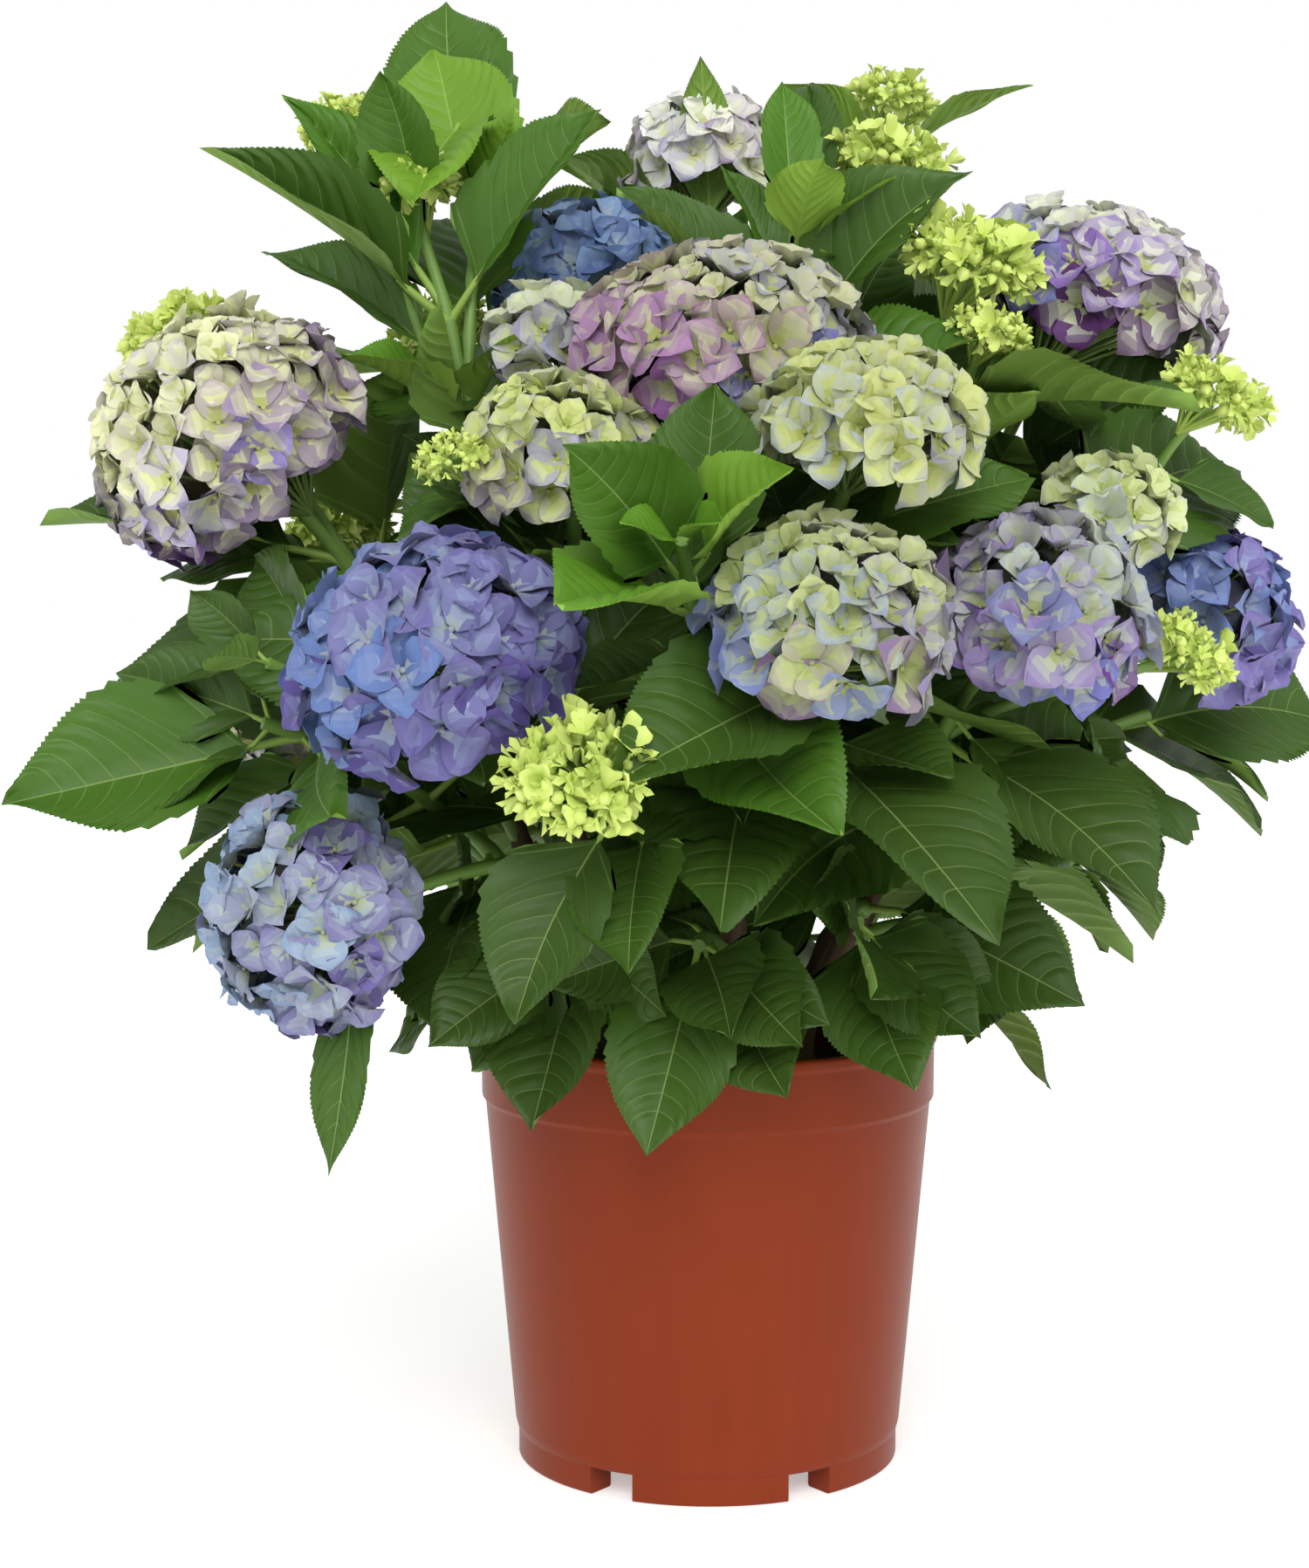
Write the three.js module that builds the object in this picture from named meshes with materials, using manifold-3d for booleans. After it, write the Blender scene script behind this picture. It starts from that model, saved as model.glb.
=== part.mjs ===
// Bigleaf hydrangea shrub standing in its round nursery pot.
// Millimetres, +Z up. The origin is on the pot's axis at the level of the ground, and the front faces -Y.
// The pot holds compost, woody canes rise from the compost, and leafy shoots with blooms and buds rise
// from the canes. Every shoot is one node, and meets its cane with a small gap.

import * as THREE from "three";
import { ConvexGeometry } from "three/addons/geometries/ConvexGeometry.js";
import { mergeVertices } from "three/addons/utils/BufferGeometryUtils.js";
import Module from "manifold-3d";

// ---- driving dimensions ----
const CLEAR = 0.3; // gap between pieces that meet

// Pot: a 230 mm round container with a rim band and a ring of six feet.
const RIM_RADIUS = 115;
const RIM_TOP = 216;
const LEDGE_HEIGHT = 181; // where the rim band steps out from the body
const BODY_TOP_RADIUS = 111.6;
const BODY_FOOT_RADIUS = 97;
const FOOT_HEIGHT = 13;
const FOOT_RADIUS = 95.6;
const FOOT_DEPTH = 16; // how far a foot reaches in from the outside
const FOOT_COUNT = 6;
const NOTCH_ANGLE = 14; // degrees between two feet
const POT_WALL = 2.2;
const POT_SIDES = 28;

// Compost
const COMPOST_TOP = 191;

// Canes: two rings of woody stems that lean out from the middle.
const CANE_SIDES = 5;
const CANE_STEPS = 4;
const CANE_RINGS = [
  { count: 7, turn: 8, rootReach: 50, tipReach: 98, tipHeight: 322, rootRadius: 6.5, tipRadius: 4.4 },
  { count: 4, turn: 44, rootReach: 20, tipReach: 44, tipHeight: 420, rootRadius: 7.5, tipRadius: 4.6 },
];
const SHOOT_STEP = 0.14; // share of a cane between one shoot and the next
const CANE_FLARE = 1.45; // how much wider a cane is at its root
const FLARE_LENGTH = 0.15; // share of a cane that is flared
const INNER_REACH = 120; // shoots that end nearer to the axis rise from the inner ring

// Shoots
const STEM_RADIUS = 4.2;
const STEM_SIDES = 3;
const STEM_TAPER = 0.25; // how much of its width a stem loses towards its tip
const SIDE_TWIG_SHARE = 0.85; // width of a forked twig beside the main one
const STEM_EASE = 0.35; // share of a stem's span over which it bends out of its start and into its end
const STEM_STEP = 64; // length of one straight stretch of stem
const HEART = new THREE.Vector3(0, 0, 300); // blooms face away from this point
const FORK_AT = 0.5; // where a second twig leaves the first

// Leaves
const LEAF_LENGTH = 118;
const LEAF_WIDTH_SHARE = 0.6;
const LEAF_THICKNESS_SHARE = 1 / 80;
const STALK_SHARE = 0.2; // a leaf stalk's length as a share of its blade's
const PETIOLE_RADIUS = 2.3;
const NODE_SPACING = 46; // between one pair of leaves and the next
const PLACED_SAG = 0.12; // how far a placed leaf's tip hangs below its straight line, by its length
const YOUNG_SHARES = [0.55, 0.85]; // lengths of the first pairs at a leafy tip
const SHRINK = [1, 0.86, 0.72]; // a leaf that touches something is tried smaller, then left out
const LEAF_TEST_MARGIN = 1; // how much a leaf is swollen for that test
const TOUCH_VOLUME = 1e-6; // less than this in common is no touch, in cubic millimetres

// Blooms and buds
const FLORET_SPACING = 41;
const DOME_DEPTH = 0.8; // a bloom's height above its middle, as a share of its radius
const UNDERSIDE_DEPTH = 0.5;
const DOME_EDGE = -0.42; // cosine of the angle from the axis where the florets end
const PETAL_SPREAD = 0.44; // how far a petal's tip stands from its floret's middle, as a share of the spacing
const GOLDEN_ANGLE = 2.39996; // turn between one floret and the next, in radians
const SMALL_BUDS = 42; // narrower clusters have fewer knobs

// ---- small helpers ----
const UP = new THREE.Vector3(0, 0, 1);
const FRONT = new THREE.Vector3(0, -1, 0);
const wasm = await Module();
wasm.setup();

const radians = (degrees) => (degrees * Math.PI) / 180;

// A point by its bearing (0 is the front, 90 the right), its distance from the pot's axis and its height.
const place = (bearing, reach, height) =>
  new THREE.Vector3(
    reach * Math.sin(radians(bearing)),
    -reach * Math.cos(radians(bearing)),
    height,
  );

// The same share from 0 to 1 for the same two whole numbers, every time.
function chance(seed, draw) {
  const v = Math.sin(seed * 127.1 + draw * 311.7) * 43758.5453;
  return v - Math.floor(v);
}

function solidOf(geometry) {
  const bare = geometry.clone();
  bare.deleteAttribute("normal");
  bare.deleteAttribute("uv");
  const merged = mergeVertices(bare, 1e-4);
  return new wasm.Manifold(
    new wasm.Mesh({
      numProp: 3,
      vertProperties: new Float32Array(merged.attributes.position.array),
      triVerts: new Uint32Array(merged.index.array),
    }),
  );
}

function solidFrom(points, faces) {
  const geometry = new THREE.BufferGeometry().setFromPoints(points);
  geometry.setIndex(faces.flat());
  return solidOf(geometry);
}

function meshOf(name, solid, material) {
  const { numProp, vertProperties, triVerts } = solid.getMesh();
  const geometry = new THREE.BufferGeometry();
  const positions = new Float32Array((vertProperties.length / numProp) * 3);
  for (let i = 0; i < positions.length / 3; i++)
    positions.set(vertProperties.subarray(i * numProp, i * numProp + 3), i * 3);
  geometry.setAttribute("position", new THREE.BufferAttribute(positions, 3));
  geometry.setIndex(new THREE.BufferAttribute(triVerts, 1));
  geometry.computeVertexNormals();
  const mesh = new THREE.Mesh(geometry, material);
  mesh.name = name;
  return mesh;
}

// The biggest body of a solid, without the scraps that a cut leaves.
const mainBody = (solid) =>
  solid.decompose().reduce((a, b) => (b.volume() > a.volume() ? b : a));

// A tapering rod along a curve: radiusAt gives its radius for a share of the curve's length.
function rod(curve, steps, sides, radiusAt) {
  const frames = curve.computeFrenetFrames(steps);
  const points = [];
  const faces = [];
  for (let i = 0; i <= steps; i++) {
    const centre = curve.getPointAt(i / steps);
    const radius = radiusAt(i / steps);
    for (let k = 0; k < sides; k++) {
      const angle = (2 * Math.PI * k) / sides;
      points.push(
        centre
          .clone()
          .addScaledVector(frames.normals[i], radius * Math.cos(angle))
          .addScaledVector(frames.binormals[i], radius * Math.sin(angle)),
      );
    }
  }
  for (let i = 0; i < steps; i++)
    for (let k = 0; k < sides; k++) {
      const a = i * sides + k;
      const b = i * sides + ((k + 1) % sides);
      faces.push([a, b, b + sides], [a, b + sides, a + sides]);
    }
  const last = steps * sides;
  for (let k = 1; k < sides - 1; k++)
    faces.push([0, k + 1, k], [last, last + k, last + k + 1]);
  return solidFrom(points, faces);
}

// ---- pot and compost ----
function bodyRadius(height) {
  const share = (height - FOOT_HEIGHT) / (LEDGE_HEIGHT - FOOT_HEIGHT);
  return BODY_FOOT_RADIUS + share * (BODY_TOP_RADIUS - BODY_FOOT_RADIUS);
}

function lathe(profile) {
  const points = profile.map(([radius, height]) => new THREE.Vector2(radius, height));
  return solidOf(new THREE.LatheGeometry(points, POT_SIDES).rotateX(Math.PI / 2));
}

function potSolid() {
  const floor = FOOT_HEIGHT + POT_WALL;
  const outside = [
    [0, FOOT_HEIGHT],
    [FOOT_RADIUS, FOOT_HEIGHT],
    [BODY_FOOT_RADIUS, FOOT_HEIGHT + 5],
    [bodyRadius(LEDGE_HEIGHT), LEDGE_HEIGHT],
    [BODY_TOP_RADIUS + 1.8, LEDGE_HEIGHT + 1.6],
    [RIM_RADIUS - 1.2, RIM_TOP - 7],
    [RIM_RADIUS, RIM_TOP - 5],
    [RIM_RADIUS, RIM_TOP - 1.5],
    [RIM_RADIUS - 1.5, RIM_TOP],
  ];
  const inside = [
    [RIM_RADIUS - 4.4, RIM_TOP],
    [RIM_RADIUS - 5.4, RIM_TOP - 3],
    [BODY_TOP_RADIUS - POT_WALL, LEDGE_HEIGHT],
    [BODY_FOOT_RADIUS - POT_WALL, floor],
    [0, floor],
  ];
  const foot = [
    [FOOT_RADIUS - FOOT_DEPTH, 0],
    [FOOT_RADIUS - 1, 0],
    [FOOT_RADIUS, 1],
    [FOOT_RADIUS, FOOT_HEIGHT + 1],
    [FOOT_RADIUS - FOOT_DEPTH, FOOT_HEIGHT + 1],
    [FOOT_RADIUS - FOOT_DEPTH, 0],
  ];
  let feet = lathe(foot);
  for (let i = 0; i < FOOT_COUNT; i++) {
    const bearing = ((i + 0.5) * 360) / FOOT_COUNT;
    const width = 2 * FOOT_RADIUS * Math.tan(radians(NOTCH_ANGLE / 2));
    const notch = new THREE.BoxGeometry(width, 3 * FOOT_DEPTH, 2 * FOOT_HEIGHT)
      .translate(0, -FOOT_RADIUS, 0)
      .rotateZ(radians(bearing));
    feet = feet.subtract(solidOf(notch));
  }
  return lathe([...outside, ...inside]).add(feet);
}

function compostSolid() {
  const gap = CLEAR / Math.cos(Math.PI / POT_SIDES);
  const floor = FOOT_HEIGHT + POT_WALL + gap;
  return lathe([
    [0, floor],
    [BODY_FOOT_RADIUS - POT_WALL - gap, floor],
    [BODY_TOP_RADIUS - POT_WALL - gap, LEDGE_HEIGHT],
    [BODY_TOP_RADIUS - POT_WALL - gap, COMPOST_TOP - 3],
    [RIM_RADIUS * 0.5, COMPOST_TOP],
    [0, COMPOST_TOP],
  ]);
}

// ---- canes ----
function makeCanes() {
  const canes = [];
  CANE_RINGS.forEach((ring, ringIndex) => {
    for (let i = 0; i < ring.count; i++) {
      const seed = 10 * ringIndex + i;
      const bearing = ring.turn + (360 * i) / ring.count;
      const root = place(bearing, ring.rootReach, COMPOST_TOP + CLEAR);
      const tipHeight = ring.tipHeight + 30 * (chance(seed, 1) - 0.5);
      const tip = place(bearing, ring.tipReach, tipHeight);
      const rise = tipHeight - root.z;
      const curve = new THREE.CubicBezierCurve3(
        root,
        root.clone().addScaledVector(UP, rise * 0.4),
        tip.clone().addScaledVector(UP, -rise * 0.25).lerp(root, 0.12),
        tip,
      );
      canes.push({ ring, ringIndex, bearing, curve, shoots: [] });
    }
  });
  return canes;
}

function caneSolid({ ring, curve }, grow) {
  const radiusAt = (share) => {
    const flare = 1 + (CANE_FLARE - 1) * Math.max(0, 1 - share / FLARE_LENGTH);
    return THREE.MathUtils.lerp(ring.rootRadius, ring.tipRadius, share) * flare + grow;
  };
  const body = rod(curve, CANE_STEPS, CANE_SIDES, radiusAt);
  if (!grow) return body;
  const tip = curve.getPointAt(1);
  const beyond = new THREE.LineCurve3(
    tip.clone().addScaledVector(curve.getTangentAt(1), -1),
    tip.clone().addScaledVector(curve.getTangentAt(1), CLEAR),
  );
  return body.add(rod(beyond, 1, CANE_SIDES, () => ring.tipRadius + grow));
}

// ---- blooms and buds ----
// Turns a piece made round +Z so that +Z points along axis, and moves it to centre.
function aim(geometry, centre, axis) {
  const turn = new THREE.Quaternion().setFromUnitVectors(UP, axis);
  return geometry.applyQuaternion(turn).translate(centre.x, centre.y, centre.z);
}

// A domed head of four-petalled florets, as one closed surface: petal tips stand out, and the
// creases between florets lie deeper.
function bloomSolid({ end: centre, axis, width, depth }, seed) {
  const count = Math.max(6, Math.round((width * width) / (FLORET_SPACING * FLORET_SPACING)));
  const spread = Math.sqrt((2 * Math.PI * (1 - DOME_EDGE)) / count) * PETAL_SPREAD;
  const points = [];
  const shares = [];
  const add = (direction, share) => {
    points.push(direction.clone().normalize());
    shares.push(share);
  };
  for (let i = 0; i < count; i++) {
    const z = 1 - ((i + 0.5) * (1 - DOME_EDGE)) / count;
    const angle = i * GOLDEN_ANGLE + chance(seed, 40);
    const flat = Math.sqrt(1 - z * z);
    const middle = new THREE.Vector3(flat * Math.cos(angle), flat * Math.sin(angle), z);
    const across = new THREE.Vector3().crossVectors(UP, middle).normalize();
    const along = new THREE.Vector3().crossVectors(middle, across);
    add(middle, 0.9);
    for (let k = 0; k < 4; k++) {
      const turn = (k * Math.PI) / 2 + chance(seed, i);
      const tip = middle
        .clone()
        .addScaledVector(across, spread * Math.cos(turn))
        .addScaledVector(along, spread * Math.sin(turn));
      add(tip, 0.96 + 0.08 * chance(seed, i * 4 + k));
    }
  }
  add(new THREE.Vector3(0, 0, -1), 0.45);
  const geometry = mergeVertices(new ConvexGeometry(points).deleteAttribute("normal"), 1e-4);
  const position = geometry.attributes.position;
  const v = new THREE.Vector3();
  for (let i = 0; i < position.count; i++) {
    v.fromBufferAttribute(position, i);
    const nearest = points.reduce((best, p, n) => (p.dot(v) > points[best].dot(v) ? n : best), 0);
    v.multiplyScalar((shares[nearest] * width) / 2);
    position.setXYZ(i, v.x, v.y, v.z * (v.z < 0 ? UNDERSIDE_DEPTH : depth));
  }
  return solidOf(aim(geometry, centre, axis));
}

// A tight cluster of unopened buds: a small knobbly cushion.
function budSolid({ end: centre, axis, width }, seed) {
  const ball = new THREE.IcosahedronGeometry(1, width < SMALL_BUDS ? 0 : 1);
  const geometry = mergeVertices(ball.deleteAttribute("normal").deleteAttribute("uv"), 1e-4);
  const position = geometry.attributes.position;
  const v = new THREE.Vector3();
  for (let i = 0; i < position.count; i++) {
    v.fromBufferAttribute(position, i);
    v.multiplyScalar(((0.78 + 0.26 * chance(seed, i)) * width) / 2);
    position.setXYZ(i, v.x, v.y, v.z * (v.z < 0 ? UNDERSIDE_DEPTH : DOME_DEPTH));
  }
  return solidOf(aim(geometry, centre, axis));
}

// ---- leaves ----
// One leaf: a three-sided stalk that starts at root, and a blade that is folded along its midrib,
// sags towards its tip and comes to a point.
function leafSolid({ root, stalk, stalkLength, along, facing, length, fold, sag }, margin = 0) {
  const out = Math.cos(radians(fold));
  const lift = Math.sin(radians(fold));
  const side = new THREE.Vector3().crossVectors(facing, along).normalize();
  const face = new THREE.Vector3().crossVectors(along, side).normalize();
  const base = root.clone().addScaledVector(stalk, stalkLength);
  const radius = PETIOLE_RADIUS + margin;
  const stalkFace = new THREE.Vector3().crossVectors(stalk, side).normalize();
  const on = (share, across) =>
    base
      .clone()
      .addScaledVector(along, share * length)
      .addScaledVector(UP, -sag * share * share * length)
      .addScaledVector(side, out * across)
      .addScaledVector(face, lift * Math.abs(across));
  const halfWidth = (length * LEAF_WIDTH_SHARE) / 2 + margin;
  const thickness = length * LEAF_THICKNESS_SHARE;
  const points = [
    root.clone().addScaledVector(side, radius),
    root.clone().addScaledVector(side, -radius),
    root.clone().addScaledVector(stalkFace, -1.7 * radius),
    base.clone().addScaledVector(side, radius * 0.7),
    base.clone().addScaledVector(side, -radius * 0.7),
    base.clone().addScaledVector(face, -radius),
    on(0.2, halfWidth * 0.86),
    on(0.6, halfWidth * 0.9),
    on(1 + margin / length, 0),
    on(0.6, -halfWidth * 0.9),
    on(0.2, -halfWidth * 0.86),
    on(0.42, 0).addScaledVector(face, margin),
    on(0.42, 0).addScaledVector(face, -thickness - margin),
  ];
  const faces = [
    [0, 1, 2],
    [0, 3, 4],
    [0, 4, 1],
    [1, 4, 5],
    [1, 5, 2],
    [2, 5, 3],
    [2, 3, 0],
  ];
  const rim = [3, 6, 7, 8, 9, 10, 4];
  for (let i = 0; i < rim.length - 1; i++) {
    faces.push([11, rim[i], rim[i + 1]]);
    faces.push([12, rim[i + 1], rim[i]]);
  }
  faces.push([11, 4, 3], [12, 3, 5], [12, 5, 4]);
  const solid = solidFrom(points, faces);
  return solid.volume() < 0 ? solidFrom(points, faces.map(([a, b, c]) => [a, c, b])) : solid;
}

// The direction that a leaf's upper side faces: towards the tip of its stem, and a little up and out.
const facingOf = (stem, outward) =>
  stem.clone().addScaledVector(UP, 0.35).addScaledVector(outward, 0.25);

// A leaf whose tip is at a chosen place. share says where on the twig it is rooted.
function leafTo(curve, [share, bearing, reach, height, front = 0], fold) {
  const root = curve.getPoint(share);
  const target = place(bearing, reach, height);
  const span = target.distanceTo(root);
  const length = span / (1 + STALK_SHARE);
  const along = target.sub(root).addScaledVector(UP, PLACED_SAG * length).normalize();
  const outward = new THREE.Vector3(root.x, root.y, 0).normalize();
  return {
    root,
    stalk: along,
    stalkLength: length * STALK_SHARE,
    along,
    facing: facingOf(curve.getTangent(share), outward).addScaledVector(FRONT, front),
    length,
    fold,
    sag: PLACED_SAG,
  };
}

// How far each half of a leaf is raised: more on some leaves of a twig than on others.
const foldOf = (twig, seed, draw) => twig.fold * (0.7 + 0.6 * chance(seed, draw));

// The leaves of a twig that have a chosen tip.
const placedLeaves = (twig, seed) =>
  twig.to.map((row, i) => leafTo(twig.curve, row, foldOf(twig, seed, 50 + i)));

// The leaves that a twig has by rule: opposite pairs, each a quarter turn from the pair before it.
function pairedLeaves(twig, seed) {
  const { curve, phase, leaf, pairs, kind, lift, droop, lowest } = twig;
  const leaves = [];
  const total = curve.getLength();
  for (let pair = 0; pair < pairs; pair++) {
    const below = (kind === "tip" ? 4 : 0.3 * twig.width + 12) + pair * NODE_SPACING;
    if (below > total * 0.94) break;
    const share = 1 - below / total;
    const root = curve.getPoint(share);
    const stem = curve.getTangent(share);
    const outward = new THREE.Vector3(root.x, root.y, 0).normalize();
    const first = new THREE.Vector3().crossVectors(stem, outward).normalize();
    const second = new THREE.Vector3().crossVectors(first, stem);
    for (let half = 0; half < 2; half++) {
      const draw = 100 + pair * 10 + half * 5;
      const jitter = (n) => chance(seed, draw + n) - 0.5;
      const turn = radians(phase + pair * 90 + half * 180 + 30 * jitter(0));
      const spread = radians(lift + pair * 8 + 16 * jitter(1));
      const stalk = new THREE.Vector3()
        .addScaledVector(first, Math.cos(turn) * Math.sin(spread))
        .addScaledVector(second, Math.sin(turn) * Math.sin(spread))
        .addScaledVector(stem, Math.cos(spread))
        .normalize();
      const along = stalk.clone().addScaledVector(UP, -droop);
      along.z = Math.max(along.z, lowest);
      along.normalize();
      const young = kind === "tip" ? YOUNG_SHARES[pair] : 1;
      const length = leaf * (young ?? 1) * (1 + 0.16 * jitter(2));
      leaves.push({
        root,
        stalk,
        stalkLength: length * STALK_SHARE,
        along,
        facing: facingOf(stem, outward),
        length,
        fold: foldOf(twig, seed, draw + 3),
        sag: 0.1 + 0.18 * chance(seed, draw + 4),
      });
    }
  }
  return leaves;
}

// ---- shoots ----
// Each shoot is a main twig and the twigs that fork from it. A twig ends in a bloom, in buds or in
// a leafy tip, at a bearing, a reach from the pot's axis and a height.
const twig = (kind, bearing, reach, height, width, more = {}) => ({
  kind,
  bearing,
  reach,
  height,
  width,
  depth: DOME_DEPTH,
  pairs: 3,
  leaf: LEAF_LENGTH,
  phase: 0, // degrees that the first pair of leaves is turned round the twig
  lift: 62, // degrees between a leaf's stalk and the twig
  droop: 0.15, // how much a blade turns down from its stalk
  lowest: -0.35, // the steepest way down that a blade may take
  fold: 18, // degrees that each half of a leaf is raised from flat
  to: [],
  ...more,
});
const bloom = (...row) => twig("bloom", ...row);
const buds = (...row) => twig("buds", ...row);
const tip = (bearing, reach, height, more) => twig("tip", bearing, reach, height, 0, more);

// The shoots that are placed one by one. A row in to is one leaf: where on the twig it is rooted,
// the bearing, reach and height of its tip, and how far its face turns to the front.
const PLACED_SHOOTS = {
  left: [
    bloom(-75, 234, 502, 132, { depth: 0.9, to: [[0.7, -81, 325, 465], [0.7, -86, 270, 440]] }),
    buds(-93, 266, 560, 54, { pairs: 0 }),
  ],
  top_left: [
    buds(-90, 150, 630, 46, {
      pairs: 0,
      fold: 50,
      to: [
        [0.55, -73, 245, 635],
        [0.58, -60, 60, 665],
        [0.92, -61, 155, 652],
        [0.9, -102, 165, 695],
        [0.84, -90, 210, 675],
        [0.2, -59, 195, 545],
        [0.22, -48, 110, 560],
        [0.4, -100, 230, 605],
      ],
    }),
    tip(-106, 128, 672, {
      pairs: 0,
      fold: 25,
      to: [
        [0.96, -114, 145, 735],
        [0.92, -92, 150, 702],
        [0.92, -88, 95, 670],
        [0.55, -145, 85, 675],
        [0.4, -128, 150, 630],
      ],
    }),
    buds(-108, 197, 670, 36, { pairs: 0 }),
  ],
  violet: [
    bloom(-35, 213, 403, 126, { depth: 0.85 }),
    tip(-57, 240, 402, {
      pairs: 0,
      to: [
        [1, -61, 270, 435],
        [1, -53, 280, 405],
        [0.8, -74, 225, 450],
      ],
    }),
  ],
  low_left: [
    bloom(-52, 224, 290, 108, { depth: 1, phase: 60, pairs: 1, to: [[0.86, -49, 230, 171]] }),
  ],
  far_left: [
    tip(-70, 225, 372, {
      pairs: 1,
      phase: 90,
      to: [
        [0.9, -73, 345, 335, 1.2],
        [0.85, -40, 258, 338, 0.5],
        [0.8, -77, 260, 305],
        [0.95, -78, 290, 395],
      ],
    }),
  ],
  centre: [bloom(3, 96, 550, 132, { depth: 0.62 })],
  centre_left: [
    bloom(-28, 150, 494, 84, { to: [[0.7, -49, 180, 485], [0.65, -29, 170, 450]] }),
    buds(-38, 186, 494, 34, { pairs: 0 }),
  ],
  blue_behind: [bloom(-126, 76, 590, 94)],
  pale_behind: [bloom(-60, 86, 550, 66, { pairs: 1 })],
  top: [
    bloom(180, 99, 655, 86, {
      caneBearing: 134,
      phase: 45,
      to: [[0.8, -177, 70, 710], [0.7, -147, 145, 665]],
    }),
  ],
  top_centre: [
    tip(47, 60, 635, {
      pairs: 0,
      fold: 35,
      to: [
        [0.95, 61, 40, 680],
        [0.94, 23, 120, 632],
        [0.76, -26, 100, 620],
        [0.76, 60, 140, 632],
        [0.86, 17, 20, 645],
        [0.85, 50, 105, 640],
      ],
    }),
  ],
  top_buds: [
    buds(90, 88, 642, 58, { pairs: 1 }),
    buds(126, 116, 684, 46, { pairs: 0, to: [[0.8, 101, 165, 685], [0.8, 140, 60, 690]] }),
  ],
  top_right: [bloom(97, 192, 588, 138, { depth: 0.75 })],
  right_buds: [
    buds(62, 138, 588, 62, { pairs: 1, to: [[0.6, 54, 185, 525]] }),
    buds(53, 160, 553, 38, { pairs: 1 }),
  ],
  yellow: [bloom(21, 184, 503, 96, { to: [[0.7, 48, 195, 485], [0.7, 35, 190, 455]] })],
  front_tip: [
    tip(-4, 214, 456, {
      pairs: 1,
      leaf: 60,
      lift: 35,
      fold: 35,
      to: [
        [0.88, -15, 250, 495],
        [0.84, 0, 165, 525],
        [0.86, 7, 250, 485],
        [0.74, -13, 292, 430],
        [0.45, 11, 260, 335],
      ],
    }),
  ],
  front: [bloom(13, 214, 418, 104, { to: [[0.55, 27, 225, 355]] })],
  front_right: [
    bloom(43, 209, 420, 100, { depth: 0.95, to: [[0.6, 49, 205, 320]] }),
    buds(66, 241, 406, 42, { pairs: 0 }),
  ],
  right: [
    bloom(88, 245, 424, 96, { to: [[0.7, 88, 280, 462]] }),
    buds(77, 247, 526, 50, { pairs: 0 }),
  ],
  right_cream: [bloom(68, 203, 470, 62, { pairs: 2, caneBearing: 110 })],
  low_buds: [
    buds(-14, 243, 358, 56, {
      pairs: 0,
      to: [
        [0.75, -22, 230, 250],
        [0.6, -9, 240, 275],
      ],
    }),
  ],
  far_right: [
    tip(92, 222, 372, {
      pairs: 1,
      phase: 90,
      to: [
        [0.9, 101, 330, 365, 0.9],
        [0.85, 79, 225, 315, 0.5],
        [0.7, 90, 215, 290],
      ],
    }),
  ],
  skirt_front_left: [
    tip(-35, 120, 268, {
      to: [
        [0.5, -30, 165, 190],
        [0.8, -45, 158, 212],
        [0.95, -43, 190, 228],
      ],
      droop: 0.5,
    }),
  ],
  skirt_front: [
    tip(-3, 122, 272, {
      to: [
        [0.9, -10, 175, 185],
        [0.7, 12, 185, 235],
        [0.8, 2, 190, 240],
      ],
      droop: 0.4,
    }),
  ],
  skirt_front_right: [
    tip(34, 122, 280, {
      to: [
        [0.6, 31, 175, 210],
        [0.8, 41, 185, 232],
        [0.95, 19, 205, 258],
      ],
      droop: 0.4,
    }),
  ],
};

// Tiers of shoots that close the plant from behind.
const BACK_TIERS = [
  { label: "back_low", from: 132, to: 257, count: 4, reach: 200, height: 330, width: 108 },
  { label: "back_middle", from: 126, to: 245, count: 4, reach: 206, height: 446, width: 118 },
  { label: "back_upper", from: 154, to: 234, count: 2, reach: 166, height: 556, width: 102 },
];

// Stems that steer aside to clear another one: how far their middle goes to the right, seen from
// outside the plant.
const BOWS = {
  shoot_top_left: 24,
  shoot_top_buds: -12,
  shoot_front: 24,
  shoot_back_middle_1: 12,
  shoot_back_middle_4: -12,
  shoot_back_upper_1: -36,
  shoot_skirt_2: -12,
};

// Low shoots whose leaves hang over the rim, from the right round the back to the left.
const SKIRT = { from: 64, to: 286, count: 6, reach: 122, height: 272, leaf: 120 };

function allShoots() {
  const shoots = Object.entries(PLACED_SHOOTS).map(([name, twigs]) => ({ name, twigs }));
  for (const tier of BACK_TIERS)
    for (let i = 0; i < tier.count; i++) {
      const bearing = THREE.MathUtils.lerp(tier.from, tier.to, i / (tier.count - 1));
      const wave = i % 2 ? 1 : -1;
      const make = [bloom, bloom, buds][(i + tier.height) % 3];
      const width = make === buds ? tier.width / 2 : tier.width;
      const more = { phase: 40 * i };
      shoots.push({
        name: tier.label + "_" + (i + 1),
        twigs: [make(bearing, tier.reach + 8 * wave, tier.height + 16 * wave, width, more)],
      });
    }
  for (let i = 0; i < SKIRT.count; i++) {
    const bearing = THREE.MathUtils.lerp(SKIRT.from, SKIRT.to, i / (SKIRT.count - 1));
    const more = { leaf: SKIRT.leaf, lift: 75, droop: 0.5, lowest: -0.9, phase: 20 };
    shoots.push({
      name: "skirt_" + (i + 1),
      twigs: [tip(bearing, SKIRT.reach, SKIRT.height + 12 * (i % 2), more)],
    });
  }
  return shoots;
}

// The difference of two bearings, from 0 to 180 degrees.
const apart = (a, b) => Math.abs(((((a - b + 180) % 360) + 360) % 360) - 180);

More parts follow.
